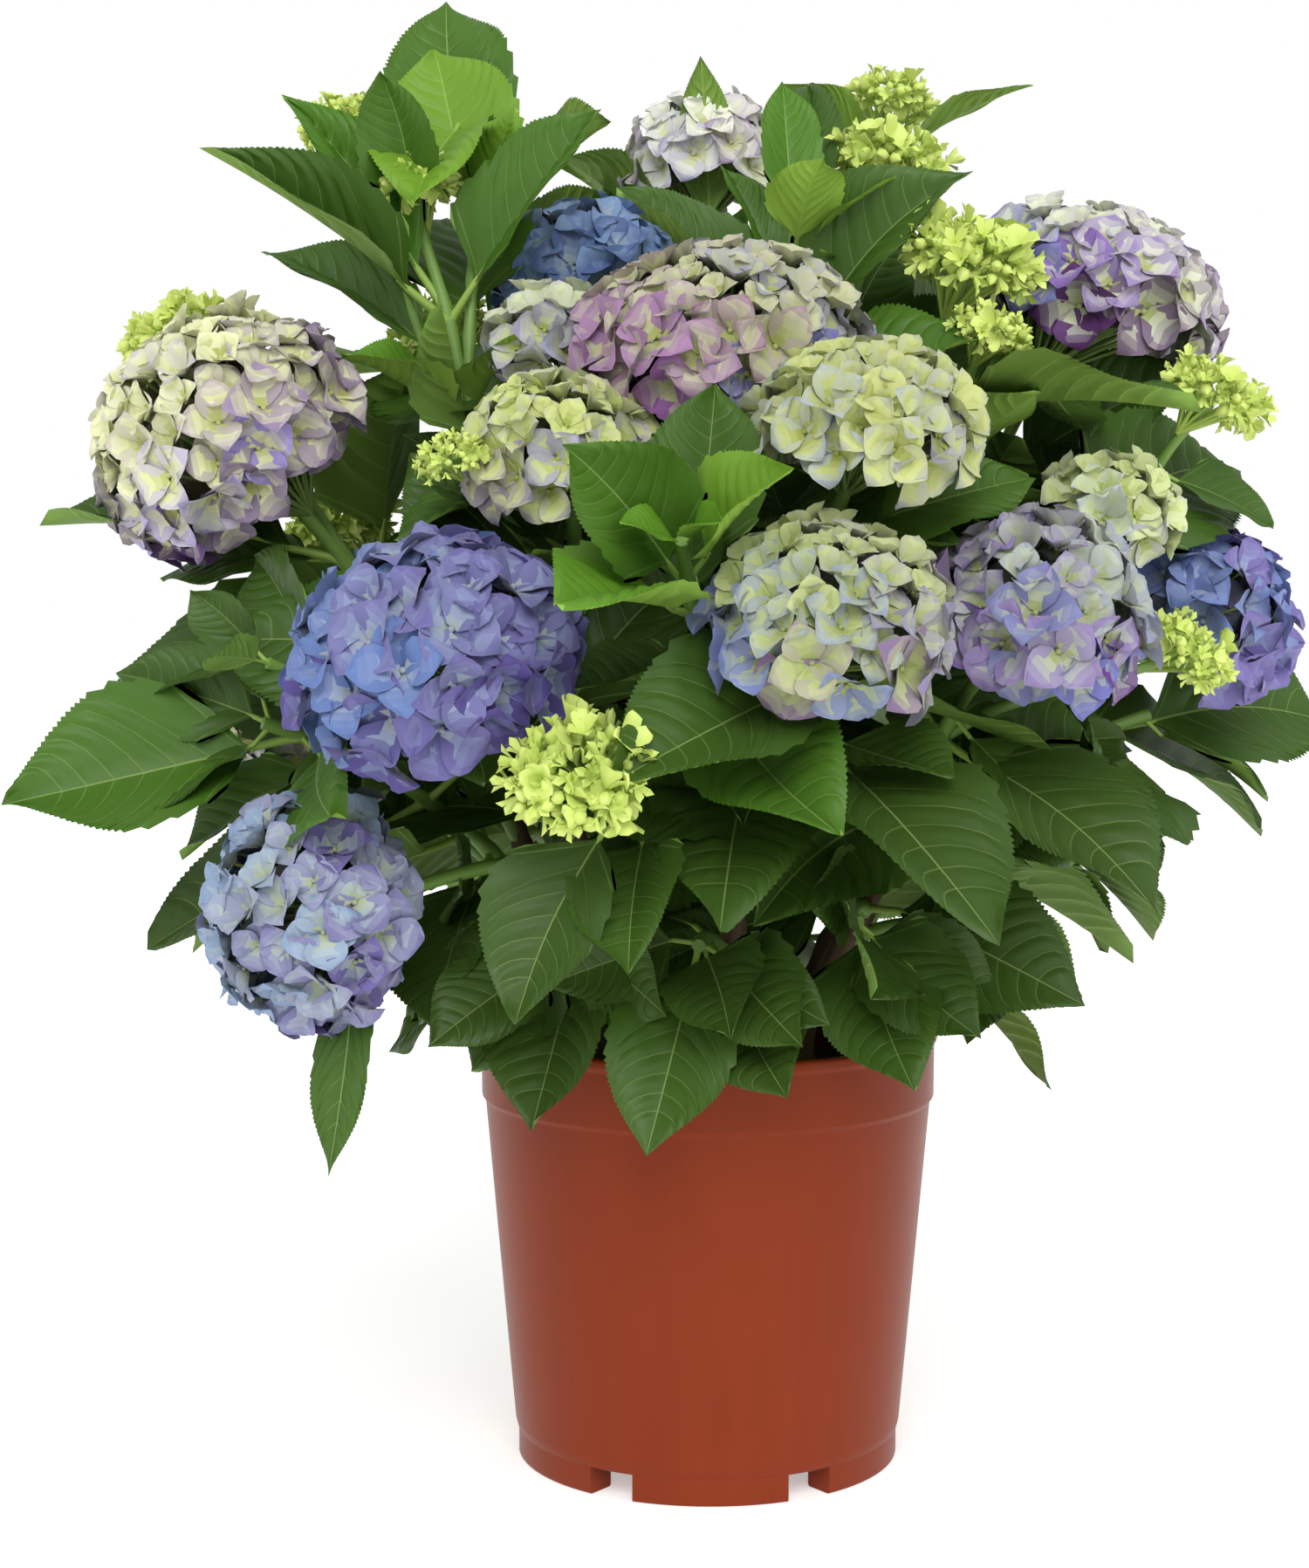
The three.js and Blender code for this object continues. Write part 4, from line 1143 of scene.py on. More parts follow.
def leaf_grid():
    """The points and faces that all blades share.

    Lines run from the midrib to the edge along the side veins. Each side vein is a narrow strip with its
    own faces, the blade swells between the veins, and the edge has a tooth between one line and the next.
    A point is its line's place on the midrib, its share of the way to the edge, its half, its layer (0 on
    the edge, which both sides share), how much it swells, and how far it stands out as a tooth.
    """
    lines = [(0.0, 0.0, 0)]
    starts = [0.03 + 0.8 * (1 - (1 - k / VEIN_PAIRS) ** 1.25) for k in range(VEIN_PAIRS + 1)]
    edge = 0
    for here, after in zip(starts, starts[1:]):
        edge += 1
        lines += [(here - VEIN_HALF_WIDTH, 0.0, edge), (here + VEIN_HALF_WIDTH, 0.0, edge)]
        for share in (0.35, 0.7):
            edge += 1
            lines.append((mix(here, after, share), 1.0, edge))
    for start in (0.87, 0.94):
        edge += 1
        lines.append((start, 0.4, edge))
    points, faces, slots, index = [], [], [], {}

    def vertex(key, *row):
        if key not in index:
            index[key] = len(points)
            points.append(row)
        return index[key]

    def corner(half, layer, number, column):
        start, swell, _ = lines[number]
        key = ("base", half, column) if number == 0 else (half, layer, number, column)
        share, height = COLUMNS[column]
        return vertex(key, start, share, half, layer if number else 0, swell * height, 0.0)

    def rim(half, number):
        start, _, count = lines[number]
        return vertex(("edge", half, count), start, 1.0, half, 0, 0.0, NOTCH)

    def face(flip, slot, *corners):
        for k in range(1, len(corners) - 1):
            a, b, c = corners[0], corners[k], corners[k + 1]
            faces.append((a, c, b) if flip else (a, b, c))
            slots.append(slot)

    peak = vertex("tip", 1.0, 0.0, 0, 0, 0.0, 0.0)
    last = len(lines) - 1
    for layer in (1, -1):
        blade, midrib, vein = (0, 1, 2) if layer > 0 else (3, 4, 4)
        for half in (1, -1):
            flip = half * layer < 0
            for i in range(last):
                is_vein = lines[i][2] == lines[i + 1][2]
                slot = vein if is_vein else blade
                low = [corner(half, layer, i, c) for c in range(len(COLUMNS))]
                high = [corner(half, layer, i + 1, c) for c in range(len(COLUMNS))]
                for c in range(len(COLUMNS) - 1):
                    face(flip, slot, low[c], high[c], high[c + 1], low[c + 1])
                if is_vein:
                    face(flip, slot, low[-1], high[-1], rim(half, i))
                    continue
                start = mix(lines[i][0], lines[i + 1][0], TOOTH_LEAN)
                tooth = vertex(("tooth", half, i), start, 1.0, half, 0, 0.0, TOOTH)
                face(flip, slot, low[-1], tooth, rim(half, i))
                face(flip, slot, low[-1], high[-1], tooth)
                face(flip, slot, high[-1], rim(half, i + 1), tooth)
            top = [corner(half, layer, last, c) for c in range(len(COLUMNS))] + [rim(half, last)]
            for c in range(len(top) - 1):
                face(flip, blade, top[c], peak, top[c + 1])
        for i in range(last):
            a, b = corner(-1, layer, i, 0), corner(-1, layer, i + 1, 0)
            c, d = corner(1, layer, i + 1, 0), corner(1, layer, i, 0)
            face(layer < 0, midrib, a, b, c, d)
        face(layer < 0, midrib, corner(-1, layer, last, 0), peak, corner(1, layer, last, 0))
    return np.array(points, dtype=float), np.array(faces), np.array(slots)


LEAF_POINTS, LEAF_FACES, LEAF_SLOTS = leaf_grid()


def blade_points(leaf, seed, options):
    """The points of one blade in millimetres: folded along its midrib, bowed, waved and swollen."""
    start, share, half, layer, swell, tooth = LEAF_POINTS.T
    side = leaf.facing.cross(leaf.along).normalized()
    face = leaf.along.cross(side).normalized()
    base = np.array(leaf.root + leaf.stalk * leaf.stalk_length)
    side, face, ahead = np.array(side), np.array(face), np.array(leaf.along)
    length = leaf.length
    half_width = length * options.width_share / 2 * leaf.broad
    sweep = VEIN_SWEEP * np.minimum(1, 0.35 + 4 * start)
    along = start + (1 - start) * sweep * (0.6 * share + 0.4 * share**2)
    rib = length * 0.0065 * (1 - 0.7 * start)
    width = half_width * leaf_outline(along) * (1 + tooth)
    across = rib + np.maximum(width - rib, 0) * share
    fold = math.radians(leaf.fold)
    ripple = RIPPLE * np.sin(2 * math.pi * (1.7 * along + chance(seed, 1) + 0.2 * half))
    curl = CURL * (chance(seed, 2) - 0.55)
    bow = BOW * (chance(seed, 3) - 0.2)
    bend = wobble(seed, 4, BEND)
    eased = np.sin(math.pi * along)
    lift = math.sin(fold) * across + half_width * share**2 * (ripple + curl) + length * bow * eased
    upper = face * math.cos(fold) - np.outer(half * (share > 0), side) * math.sin(fold)
    uneven = np.sin(61 * start + 23 * share + 1.7 * half + 40 * chance(seed, 7)) * (share > 0) * (share < 1)
    quilting = options.quilting * swell + options.pucker * uneven / 2
    skin = layer * options.thickness / MM / 2 + length * quilting
    return (
        base
        + np.outer(along * length, ahead)
        - np.outer(leaf.sag * along**2 * length, (0, 0, 1))
        + np.outer(half * math.cos(fold) * across + bend * length * eased, side)
        + np.outer(lift, face)
        + upper * skin[:, None]
    )


def blade_spots(leaf):
    """Places on a blade: along its midrib and half way to both edges."""
    base = leaf.root + leaf.stalk * leaf.stalk_length
    side = leaf.facing.cross(leaf.along).normalized() * (0.2 * leaf.length * leaf.broad)
    spots = []
    for share in (0.2, 0.4, 0.6, 0.8, 1):
        middle = base + leaf.along * (share * leaf.length) - UP * (leaf.sag * share**2 * leaf.length)
        spots += [middle] if share == 1 else [middle, middle + side, middle - side]
    return spots


def spoils_a_bloom(leaf, row):
    """Whether a blade would run through a bloom or hang in front of one."""
    for spot in blade_spots(leaf):
        for other in BLOOMS:
            offset = spot - other.end
            rise = offset.dot(other.axis)
            flat = (offset - other.axis * rise).length
            radius = other.width / 2
            tall = radius * (other.depth if rise > 0 else UNDERSIDE_DEPTH)
            if math.hypot(flat / radius, rise / tall) < (0.6 if other is row else 0.95):
                return True
            ahead = offset.dot(FRONT)
            in_view = other.shoot.removeprefix("shoot_") in PLACED_SHOOTS
            if in_view and ahead > 0 and (offset - FRONT * ahead).length < 0.8 * radius:
                return True
    return False


def tone_of(leaf, row, seed):
    """The tone of a leaf, from 0: old, low and inner leaves are deep green, and young, high ones lime."""
    age = leaf.age
    if age is None:
        age = (leaf.root.z - TONE_FROM) / TONE_SPAN - PAIR_AGE * leaf.pair
        if row.kind == "tip" and leaf.root.z > HIGH_TIP and leaf.pair == 0 and not leaf.placed:
            age += TIP_AGE
    age += wobble(seed, 5, TONE_WOBBLE)
    return int(np.clip(age * TONE_COUNT, 0, TONE_COUNT - 1))


def hidden_in_pot(leaf):
    """Whether a blade would run through the pot's wall or into the compost."""
    reach, height = RIM_RADIUS + RIM_MARGIN[0], RIM_TOP + RIM_MARGIN[1]
    return any(spot.z < height and math.hypot(spot.x, spot.y) < reach for spot in blade_spots(leaf))


def leaf_rows():
    """Every leaf with its twig, its seed and its tone."""
    rows = []
    for row in TWIGS:
        for n, leaf in enumerate(row.leaves):
            seed = row.seed * 31 + n
            if leaf.placed or not (spoils_a_bloom(leaf, row) or hidden_in_pot(leaf)):
                rows.append((leaf, row, seed, tone_of(leaf, row, seed)))
    return rows


def blended(stops, share):
    """The colour at a share of the way through a row of colours."""
    place_in = share * (len(stops) - 1)
    i = min(int(place_in), len(stops) - 2)
    return [mix(a, b, place_in - i) for a, b in zip(stops[i], stops[i + 1])]


def leaf_materials(tone, options):
    """Upper blade, midrib and side veins, and lower blade and veins, of one tone of leaf."""
    share = tone / (TONE_COUNT - 1)
    blade = blended((options.deep, options.green, options.fresh, options.lime), share)
    under = blended((options.under_deep, options.under_lime), share)
    colours = {
        "upper": (blade, 0.44),
        "midrib": (blended((blade, options.vein_colour), 0.34), 0.5),
        "side_vein": (blended((blade, options.vein_colour), 0.15), 0.5),
        "under": (under, 0.62),
        "under_vein": (blended((under, options.vein_colour), 0.35), 0.62),
    }
    return [plain(f"leaf_{tone}_{name}", *look, LEAF_GLOSS) for name, look in colours.items()]


def build_leaves(options):
    rows = leaf_rows()
    for tone in range(TONE_COUNT):
        mine = [row for row in rows if row[3] == tone]
        if not mine:
            continue
        parts = [(blade_points(leaf, seed, options), LEAF_FACES) for leaf, _, seed, _ in mine]
        points, faces = joined(parts)
        slots = np.tile(LEAF_SLOTS, len(mine))
        piece = mesh_object(f"leaves_tone_{tone + 1}", points, faces, leaf_materials(tone, options), slots)
        piece.data.set_sharp_from_angle(angle=math.radians(60))
        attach(piece, "root")
        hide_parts(*sorted({row.shoot for _, row, _, _ in mine}))
    chains = [leaf_stalk_chain(leaf) for leaf, _, _, _ in rows]
    stalk_object("leaf_stalks", chains, 7, plain("leaf_stalk", options.stalk_colour, 0.5))


# ---- blooms ----
# Widths of a bloom's florets in its middle and at its edge in millimetres, how much of them is coloured
# there, how far the bloom looks up, and its colours: the floret's heart, its pale part, the blush on the
# left and on the right, and the deepest one.
BLOOM_LOOKS = {
    "left": (22, 40, 0.06, 0.8, 0.2, "c6ce7c", "dfe2b4", "9688c4", "7e5c9a", "5e3c7c"),
    "violet": (36, 44, 0.85, 1.0, 0.5, "aab6bc", "8c9abc", "5c74aa", "645e98", "4e4288"),
    "low_left": (28, 38, 0.6, 0.9, 0.2, "b8c4a0", "a8b6bc", "738cb4", "7c7aa6", "665c98"),
    "centre": (22, 42, 0.12, 0.85, 0.4, "b2bc6c", "bcbe98", "925e9c", "7474b0", "7c3c80"),
    "centre_left": (19, 36, 0.1, 0.5, 0.5, "b2c05e", "c9d286", "8a84bc", "8070b0", "745a9c"),
    "blue_behind": (28, 38, 0.85, 1.0, 0.4, "a9bcc0", "98acc4", "6480b0", "7290bc", "52689c"),
    "pale_behind": (24, 34, 0.2, 0.6, 0.4, "b6c270", "c6cfa6", "a096c2", "9094bc", "867aa8"),
    "top": (25, 36, 0.12, 0.45, 0.6, "d4d89c", "e8ead8", "a49cca", "a892c2", "84609c"),
    "top_right": (25, 42, 0.2, 0.8, 0.6, "c8d08a", "d8dcc4", "7c7cba", "8466ae", "5e3070"),
    "yellow": (20, 36, 0.04, 0.45, 0.7, "a8b454", "bcc47e", "8690c0", "8680bc", "766cac"),
    "front": (22, 40, 0.1, 0.75, 0.6, "a8b668", "b4bd84", "6f7cb2", "7868a8", "70488c"),
    "front_right": (26, 40, 0.3, 0.85, 0.55, "a8b278", "aeb6a4", "7c62a4", "6668a8", "5c2c78"),
    "right": (32, 42, 0.85, 1.0, 0.3, "a2aec4", "909ec4", "687ab2", "7266a4", "644c92"),
    "right_cream": (18, 30, 0.05, 0.35, 0.5, "b0c064", "ccd698", "acb6c8", "acb6c8", "a09abc"),
}
BACK_LOOKS = [
    (26, 41, 0.2, 0.85, 0.3, "b8c274", "c6ceb0", "848ebc", "8c7eb0", "6c5094"),
    (34, 44, 0.85, 1.0, 0.3, "b0bcc0", "96a4c4", "647cb0", "6c669e", "54488c"),
    (23, 40, 0.08, 0.7, 0.3, "bcc470", "d0d4aa", "a096c0", "9278a8", "745490"),
]
SEPAL_ROWS = (0.05, 0.22, 0.4, 0.58, 0.75, 0.9)
SEPAL_COLUMNS = (-1.0, -0.7, 0.0, 0.7, 1.0)
BUD_COLUMNS = (-1.0, 0.0, 1.0)
# A floret's name, its seed, how cupped and how bent back its sepals are, half their width, how pointed
# they are, and where their points lie, along a sepal and across it.
FLORET_FORMS = (
    ("young floret", 1, 0.85, 0.12, 0.49, 1.2, SEPAL_ROWS, SEPAL_COLUMNS),
    ("cupped floret", 2, 0.65, 0.14, 0.5, 1.15, SEPAL_ROWS, SEPAL_COLUMNS),
    ("open floret", 3, 0.55, 0.2, 0.5, 1.05, SEPAL_ROWS, SEPAL_COLUMNS),
    ("wide floret", 4, 0.42, 0.3, 0.54, 0.95, SEPAL_ROWS, SEPAL_COLUMNS),
)
BUD_FORMS = (
    ("open bud", 5, 1.2, 0.2, 0.36, 0.8, (0.1, 0.55), BUD_COLUMNS),
    ("ripe bud", 6, 0.9, 0.15, 0.46, 0.9, (0.08, 0.35, 0.65, 0.88), BUD_COLUMNS),
)
SEPAL_WOBBLE = 16  # how far, in degrees, sepals stand off their cross
SEPAL_STEP = 0.05  # how much higher every other sepal lies
SEPAL_THICKNESS = 0.035
OWN_CUP = (0.75, 1.25)
OWN_REACH = (0.86, 1.08)
CHANNEL = 0.35  # how much a sepal's sides rise above its middle
BEAD_RADIUS = 0.08
MARGIN_TINT = 0.35  # how much more colour a sepal has along its margin
PETAL_STEPS = 6  # plain colours from the pale part to each blush
PETAL_SHEEN = {"Sheen Weight": 0.2, "Specular IOR Level": 0.35}
SHADED = -1  # the kind of the inner florets, which are seen only through gaps and get a plain dark colour: painted shade inside the bloom
FILLER_SHELL = 0.7  # radius of the inner layer of florets as a share of the bloom's
RIM_AT = 1.1  # how far below its top, in radii, a bloom has florets of its edge's size
LOWEST = (-0.8, -0.2)  # height of the lowest florets where a bloom looks sideways, and where it looks up
FLORET_JITTER = 0.75
WIDTH_JITTER = 0.45
COLOUR_JITTER = 0.45
DEEP_FROM = 0.55  # how near to the edge some of the florets have the deepest blush, and how many
DEEP_SHARE = 0.3
CUPPED_UNDER = 29  # width under which a floret is still cupped
HUB = 0.36  # how deep in a bloom its stalks part, as a share of its width
# The bands of a floret's green heart, which darken towards the middle, partly the heart's own green and
# partly painted shade in the cup: how far out each reaches in a pale floret and in a coloured one.
HEART_BANDS = ((0.68, 0.3), (0.5, 0.2), (0.32, 0.1))
BLUSH_FROM = (0.78, 0.12)
BLUSH_WIDTH = (0.3, 0.6)


def floret_form(name, seed, cup, open_out, broad, tip_power, rows, columns):
    """Four overlapping sepals round a bead, with a radius of 1, as an object.

    The face attribute outward is how far out a face lies.
    """
    points, faces, outward_of = [], [], []
    widest = 0.75 / (0.75 + tip_power)
    full = widest**0.75 * (1 - widest) ** tip_power / broad
    size = len(columns)
    for n in range(4):
        angle = math.radians(90 * n + wobble(seed, n, SEPAL_WOBBLE))
        turn = np.array([[math.cos(angle), -math.sin(angle)], [math.sin(angle), math.cos(angle)]])
        raised = SEPAL_STEP * (n % 2)
        own_cup = cup * mix(*OWN_CUP, chance(seed, 4 + n))
        reach = mix(*OWN_REACH, chance(seed, 8 + n))
        first = len(points)

        def add(outward, across, drop=0.0):
            side = across * outward**0.75 * (1 - outward) ** tip_power / full
            x, y = turn @ np.array([outward * reach, side])
            far = min(1, math.hypot(outward, side))
            height = own_cup * far * far * (3 - 2 * far) - open_out * outward**4 + CHANNEL * side * side
            height += 0.04 * math.sin(8 * outward + 4 * across + 2 * n) + raised - drop
            points.append((x, y, height))

        for outward in rows:
            for across in columns:
                add(outward, across)
        add(1.0, 0.0)
        add(0.5, 0.0, drop=SEPAL_THICKNESS)
        peak, under = len(points) - 2, len(points) - 1
        for i in range(len(rows) - 1):
            for k in range(size - 1):
                a = first + i * size + k
                faces += [(a, a + size, a + size + 1), (a, a + size + 1, a + 1)]
                here = (rows[i] + rows[i + 1]) / 2
                outward_of += [mix(here, 1, MARGIN_TINT) if k in (0, size - 2) else here] * 2
        top = peak - size
        faces += [(top + k, peak, top + k + 1) for k in range(size - 1)]
        outward_of += [0.97] * (size - 1)
        left = [first + i * size for i in range(len(rows))]
        right = [corner + size - 1 for corner in left]
        rim = left + [peak] + right[::-1] + [first + k for k in range(size - 2, 0, -1)]
        faces += [(under, b, a) for a, b in zip(rim, rim[1:] + rim[:1])]
        outward_of += [0.75] * len(rim)
    bead, bead_faces = small_ball(BEAD_RADIUS, (0, 0, 0.07))
    faces += [tuple(len(points) + k for k in face) for face in bead_faces]
    points += bead
    outward_of += [0.0] * len(bead_faces)
    return form_object(name, points, faces, outward_of)


def small_ball(radius, centre):
    shape = bmesh.new()
    bmesh.ops.create_icosphere(shape, subdivisions=1, radius=radius)
    points = [tuple(vertex.co + Vector(centre)) for vertex in shape.verts]
    faces = [tuple(vertex.index for vertex in face.verts) for face in shape.faces]
    shape.free()
    return points, faces


def form_object(name, points, faces, outward_of=None):
    """An object that is only used as a form for the scatter tree."""
    mesh = bpy.data.meshes.new(name)
    mesh.from_pydata(points, [], faces)
    if outward_of:
        layer = mesh.attributes.new("outward", "FLOAT", "FACE")
        layer.data.foreach_set("value", outward_of)
    return bpy.data.objects.new(name, mesh)


def bead_form(name):
    """An unopened bud: a small ball with a slight point."""
    points, faces = small_ball(1.0, (0, 0, 0))
    return form_object(name, [(x, y, z * (1.35 if z > 0.8 else 1)) for x, y, z in points], faces)


def towards_rim(z, shift=0.0):
    """How far down a bloom a height lies, from 0 at its top to 1 where its edge begins."""
    return np.clip((1 - z) / RIM_AT + shift, 0, 1)


def spiral_heights(count, lowest, inner, outer):
    """Heights on a ball from 1 down, closer together where the florets are small."""
    z = np.linspace(1, lowest, 400)
    weight = 1 / mix(inner, outer, towards_rim(z)) ** 2
    total = np.cumsum(weight)
    return np.interp((np.arange(count) + 0.5) / count, total / total[-1], z)


def floret_count(radius, depth, lowest, inner, outer, spacing):
    """How many florets cover a bloom, from its surface and their widths."""
    z = np.linspace(1, lowest, 200)
    size = mix(inner, outer, towards_rim(z)) * spacing
    tall = np.where(z > 0, (1 + depth) / 2, (1 + UNDERSIDE_DEPTH) / 2)
    return max(6, int(np.sum(2 * math.pi * radius**2 * tall / size**2) * (1 - lowest) / len(z)))



def bloom_rows(row, look, options):
    """A bloom's florets: where each one is, how it is turned, its size, form and colours."""
    seed = row.seed
    inner, outer, inner_blush, outer_blush, raised = look[:5]
    radius = row.width / 2
    axis = row.axis.lerp(UP, raised).normalized()
    lowest = mix(*LOWEST, raised)
    first = axis.cross(Vector((0, 1, 0))).normalized()
    second = axis.cross(first)
    florets = []
    for layer, (shell, shrink) in enumerate(((radius, 1.0), (radius * FILLER_SHELL, 0.85))):
        spacing = options.spacing * (1, 1.2)[layer]
        count = floret_count(shell * 0.9, row.depth, lowest, inner, outer, spacing)
        for i, z in enumerate(spiral_heights(count, lowest, inner, outer)):
            draws = [chance(seed + 17 * layer, 40 * i + k) for k in range(12)]
            angle = i * GOLDEN_ANGLE + seed + layer
            flat = math.sqrt(1 - z * z)
            out = swing(first, second, angle, flat)
            tall = row.depth if z > 0 else UNDERSIDE_DEPTH
            rim = towards_rim(z, WIDTH_JITTER * (draws[4] - 0.5))
            width = mix(inner, outer, rim)
            depth_in = (shell - 0.24 * width) * mix(0.95, 1.04, draws[0])
            spot = row.end + (out + axis * (z * tall)) * depth_in
            jitter = Vector([draw - 0.5 for draw in draws[1:4]])
            up = (out + axis * (z / tall * 0.8 + 0.2) + jitter * FLORET_JITTER).normalized()
            blush = mix(inner_blush, outer_blush, rim**1.3) + COLOUR_JITTER * (draws[5] - 0.5)
            is_deep = rim > DEEP_FROM and draws[7] < DEEP_SHARE
            kind = 2 if is_deep else int(out.x * 0.8 + draws[6] > 0.5)
            floret = SimpleNamespace(
                spot=spot, up=up, along=Vector([draw - 0.5 for draw in draws[8:11]]),
                size=even_size(width / 2 * mix(0.88, 1.14, draws[11]) * shrink),
                form=(0 if width < CUPPED_UNDER else 2) + i % 2,
                amount=np.clip(blush, 0, 1), kind=SHADED if layer else kind,
            )
            florets.append(floret)
    return florets


def petal_materials(name, look):
    """The plain colours of one bloom: painted shade for the florets in its depth, at the heart (its own
    green darkened by painted shade in the cups), between, pale, and towards each blush.
    """
    heart, pale, left, right, deep = (linear(colour) for colour in look[5:])
    # painted shade: a dark mix of heart and blush for the inner florets, where the inside of the bloom lies
    # in shadow
    shade = [0.4 * channel for channel in blended((heart, right), 0.4)]
    # the heart's own green, darkened further as painted shade in the bottom of each floret's cup
    heart = [0.8 * channel for channel in heart]
    ground = {"shade": shade, "heart": heart}
    ground |= {"next": blended((heart, pale), 0.35), "between": blended((heart, pale), 0.7), "pale": pale}
    petals = [plain(f"petal_{name}_{label}", colour, 0.55, PETAL_SHEEN) for label, colour in ground.items()]
    for kind, blush in enumerate((left, right, deep)):
        for step in range(1, PETAL_STEPS + 1):
            colour = blended((pale, blush), step / PETAL_STEPS)
            petals.append(plain(f"petal_{name}_{kind}_{step}", colour, 0.55, PETAL_SHEEN))
    return petals


def face_values(mesh, name):
    """An attribute's value on each face, from the face itself or from its first corner."""
    layer = mesh.attributes[name]
    values = np.zeros(len(layer.data), dtype=np.float32)
    layer.data.foreach_get("value", values)
    if layer.domain == "FACE":
        return values
    corners = np.zeros(len(mesh.loops), dtype=np.int32)
    mesh.loops.foreach_get("vertex_index", corners)
    starts = np.zeros(len(mesh.polygons), dtype=np.int32)
    mesh.polygons.foreach_get("loop_start", starts)
    return values[corners[starts]]


def deal_petal_colours(piece, petals):
    """Gives each face of a bloom a plain colour: green at the heart, then pale, then the blush, and painted
    shade on the inner florets.
    """
    mesh = piece.data
    outward, amount, kind = (face_values(mesh, name) for name in ("outward", "amount", "kind"))
    inside = (outward - mix(*BLUSH_FROM, amount)) / mix(*BLUSH_WIDTH, amount)
    share = np.clip(inside, 0, 1) * mix(0.5, 1, amount)
    level = np.round(PETAL_STEPS * share)
    slot = np.where(level > 0, 4 + kind * PETAL_STEPS + level, 4)
    for k, band in enumerate(HEART_BANDS):
        slot = np.where((outward < mix(*band, amount)) & (level < 2), 3 - k, slot)
    # the inner florets all take the painted shade colour
    slot = np.where(kind == SHADED, 0, slot).astype(np.int32)
    mesh.materials.clear()
    for material in petals:
        mesh.materials.append(material)
    mesh.polygons.foreach_set("material_index", slot)
    for name in ("outward", "amount", "kind"):
        mesh.attributes.remove(mesh.attributes[name])
    mesh.set_sharp_from_angle(angle=math.radians(65))


def pedicel_chain(row, spot):
    """The thin stalk of one floret, from the bloom's hub."""
    hub = row.end - row.axis * (HUB * row.width)
    middle = hub.lerp(spot, 0.55) + row.axis * (0.04 * row.width)
    return [hub, middle, spot], [BRANCH_RADIUS * share for share in BRANCH_TAPER]


def build_blooms(options):
    chains = []
    backs = 0
    for row in BLOOMS:
        name = row.shoot.removeprefix("shoot_")
        look = BLOOM_LOOKS.get(name)
        if look is None:
            look = BACK_LOOKS[backs % len(BACK_LOOKS)]
            backs += 1
        florets = bloom_rows(row, look, options)
        shapes = [floret_form(*form) for form in FLORET_FORMS]
        petals = petal_materials(name, look)
        piece = scatter("bloom_" + name, florets, shapes, petals[0], ("amount", "kind"))
        deal_petal_colours(piece, petals)
        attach(piece, "root")
        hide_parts(row.shoot)
        chains += [pedicel_chain(row, floret.spot) for floret in florets]
    stalk_object("floret_stalks", chains, 4, plain("floret_stalk", options.stalk_colour, 0.55))


# ---- buds ----
USUAL_CLUSTER = 54  # width of a cluster with the usual number of umbels
FEWEST_UMBELS = 9
UMBEL_AT = 0.78  # reach and radius of an umbel as shares of its cluster's radius
UMBEL_RADIUS = 0.22
BUD_SIZES = (0.12, 0.2, 0.36)  # closed, open and ripe, as shares of the cluster's radius


def bud_rows(row, options):
    """A cluster's buds in small umbels on a dome, and the branches that carry the umbels."""
    seed = row.seed
    axis = row.axis.lerp(UP, 0.4).normalized()
    first = axis.orthogonal().normalized()
    second = axis.cross(first)
    radius = row.width / 2
    buds_made, chains = [], []
    hub = row.end - row.axis * radius
    umbels = max(FEWEST_UMBELS, int(options.umbels * row.width / USUAL_CLUSTER))
    for i in range(umbels):
        z = 1 - (i + 0.5) * 1.25 / umbels
        angle = i * GOLDEN_ANGLE + chance(seed, 60)
        flat = math.sqrt(1 - z * z)
        out = swing(first, second, angle, flat) + axis * (0.4 * z)
        centre = row.end + out * (radius * UMBEL_AT)
        knob = radius * UMBEL_RADIUS
        bend = hub.lerp(centre, 0.5) + row.axis * (0.06 * radius)
        chains.append(([hub, bend, centre], [BRANCH_RADIUS * 1.4, BRANCH_RADIUS, BRANCH_RADIUS * 0.8]))
        for k in range(options.buds_each):
            tall = 1 - (k + 0.5) * 1.5 / options.buds_each
            turn = k * GOLDEN_ANGLE + i
            low = math.sqrt(1 - tall * tall)
            way = out.normalized()
            a = way.orthogonal().normalized()
            b = way.cross(a)
            up = swing(a, b, turn, low) + way * tall
            form = int(chance(seed, 100 * i + k) < options.opened)
            if chance(seed, 60 * i + k) < options.ripe:
                form = 2
            size = radius * BUD_SIZES[form] * mix(0.75, 1.2, chance(seed, 90 * i + k))
            bud = SimpleNamespace(
                spot=centre + up * (knob * (0.85 + 0.3 * chance(seed, 80 * i + k))), up=up,
                along=Vector([wobble(seed, 70 * i + k + n, 1) for n in range(3)]),
                size=even_size(size), form=form,
            )
            buds_made.append(bud)
    return buds_made, chains


def build_buds(options):
    made, chains = [], []
    clusters = [row for row in TWIGS if row.kind == "buds"]
    for row in clusters:
        its_buds, branches = bud_rows(row, options)
        made += its_buds
        chains += branches
    shapes = [bead_form("bud")] + [floret_form(*form) for form in BUD_FORMS]
    piece = scatter("bud_clusters", made, shapes, plain("bud_green", options.colour, 0.5))
    piece.data.set_sharp_from_angle(angle=math.radians(50))
    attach(piece, "root")
    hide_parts(*sorted({row.shoot for row in clusters}))
    stalk_object("bud_branches", chains, 5, plain("bud_branch", options.branch_colour, 0.5))


# ---- stage ----
FLOOR_SIZE = 6000
FLOOR_GLOW = 0.42
LIT_POINT = (0, 0, 0.4)
FILL_SHARE = 0.45  # strength of the fill light beside the key light's
SENSOR_WIDTH = 36


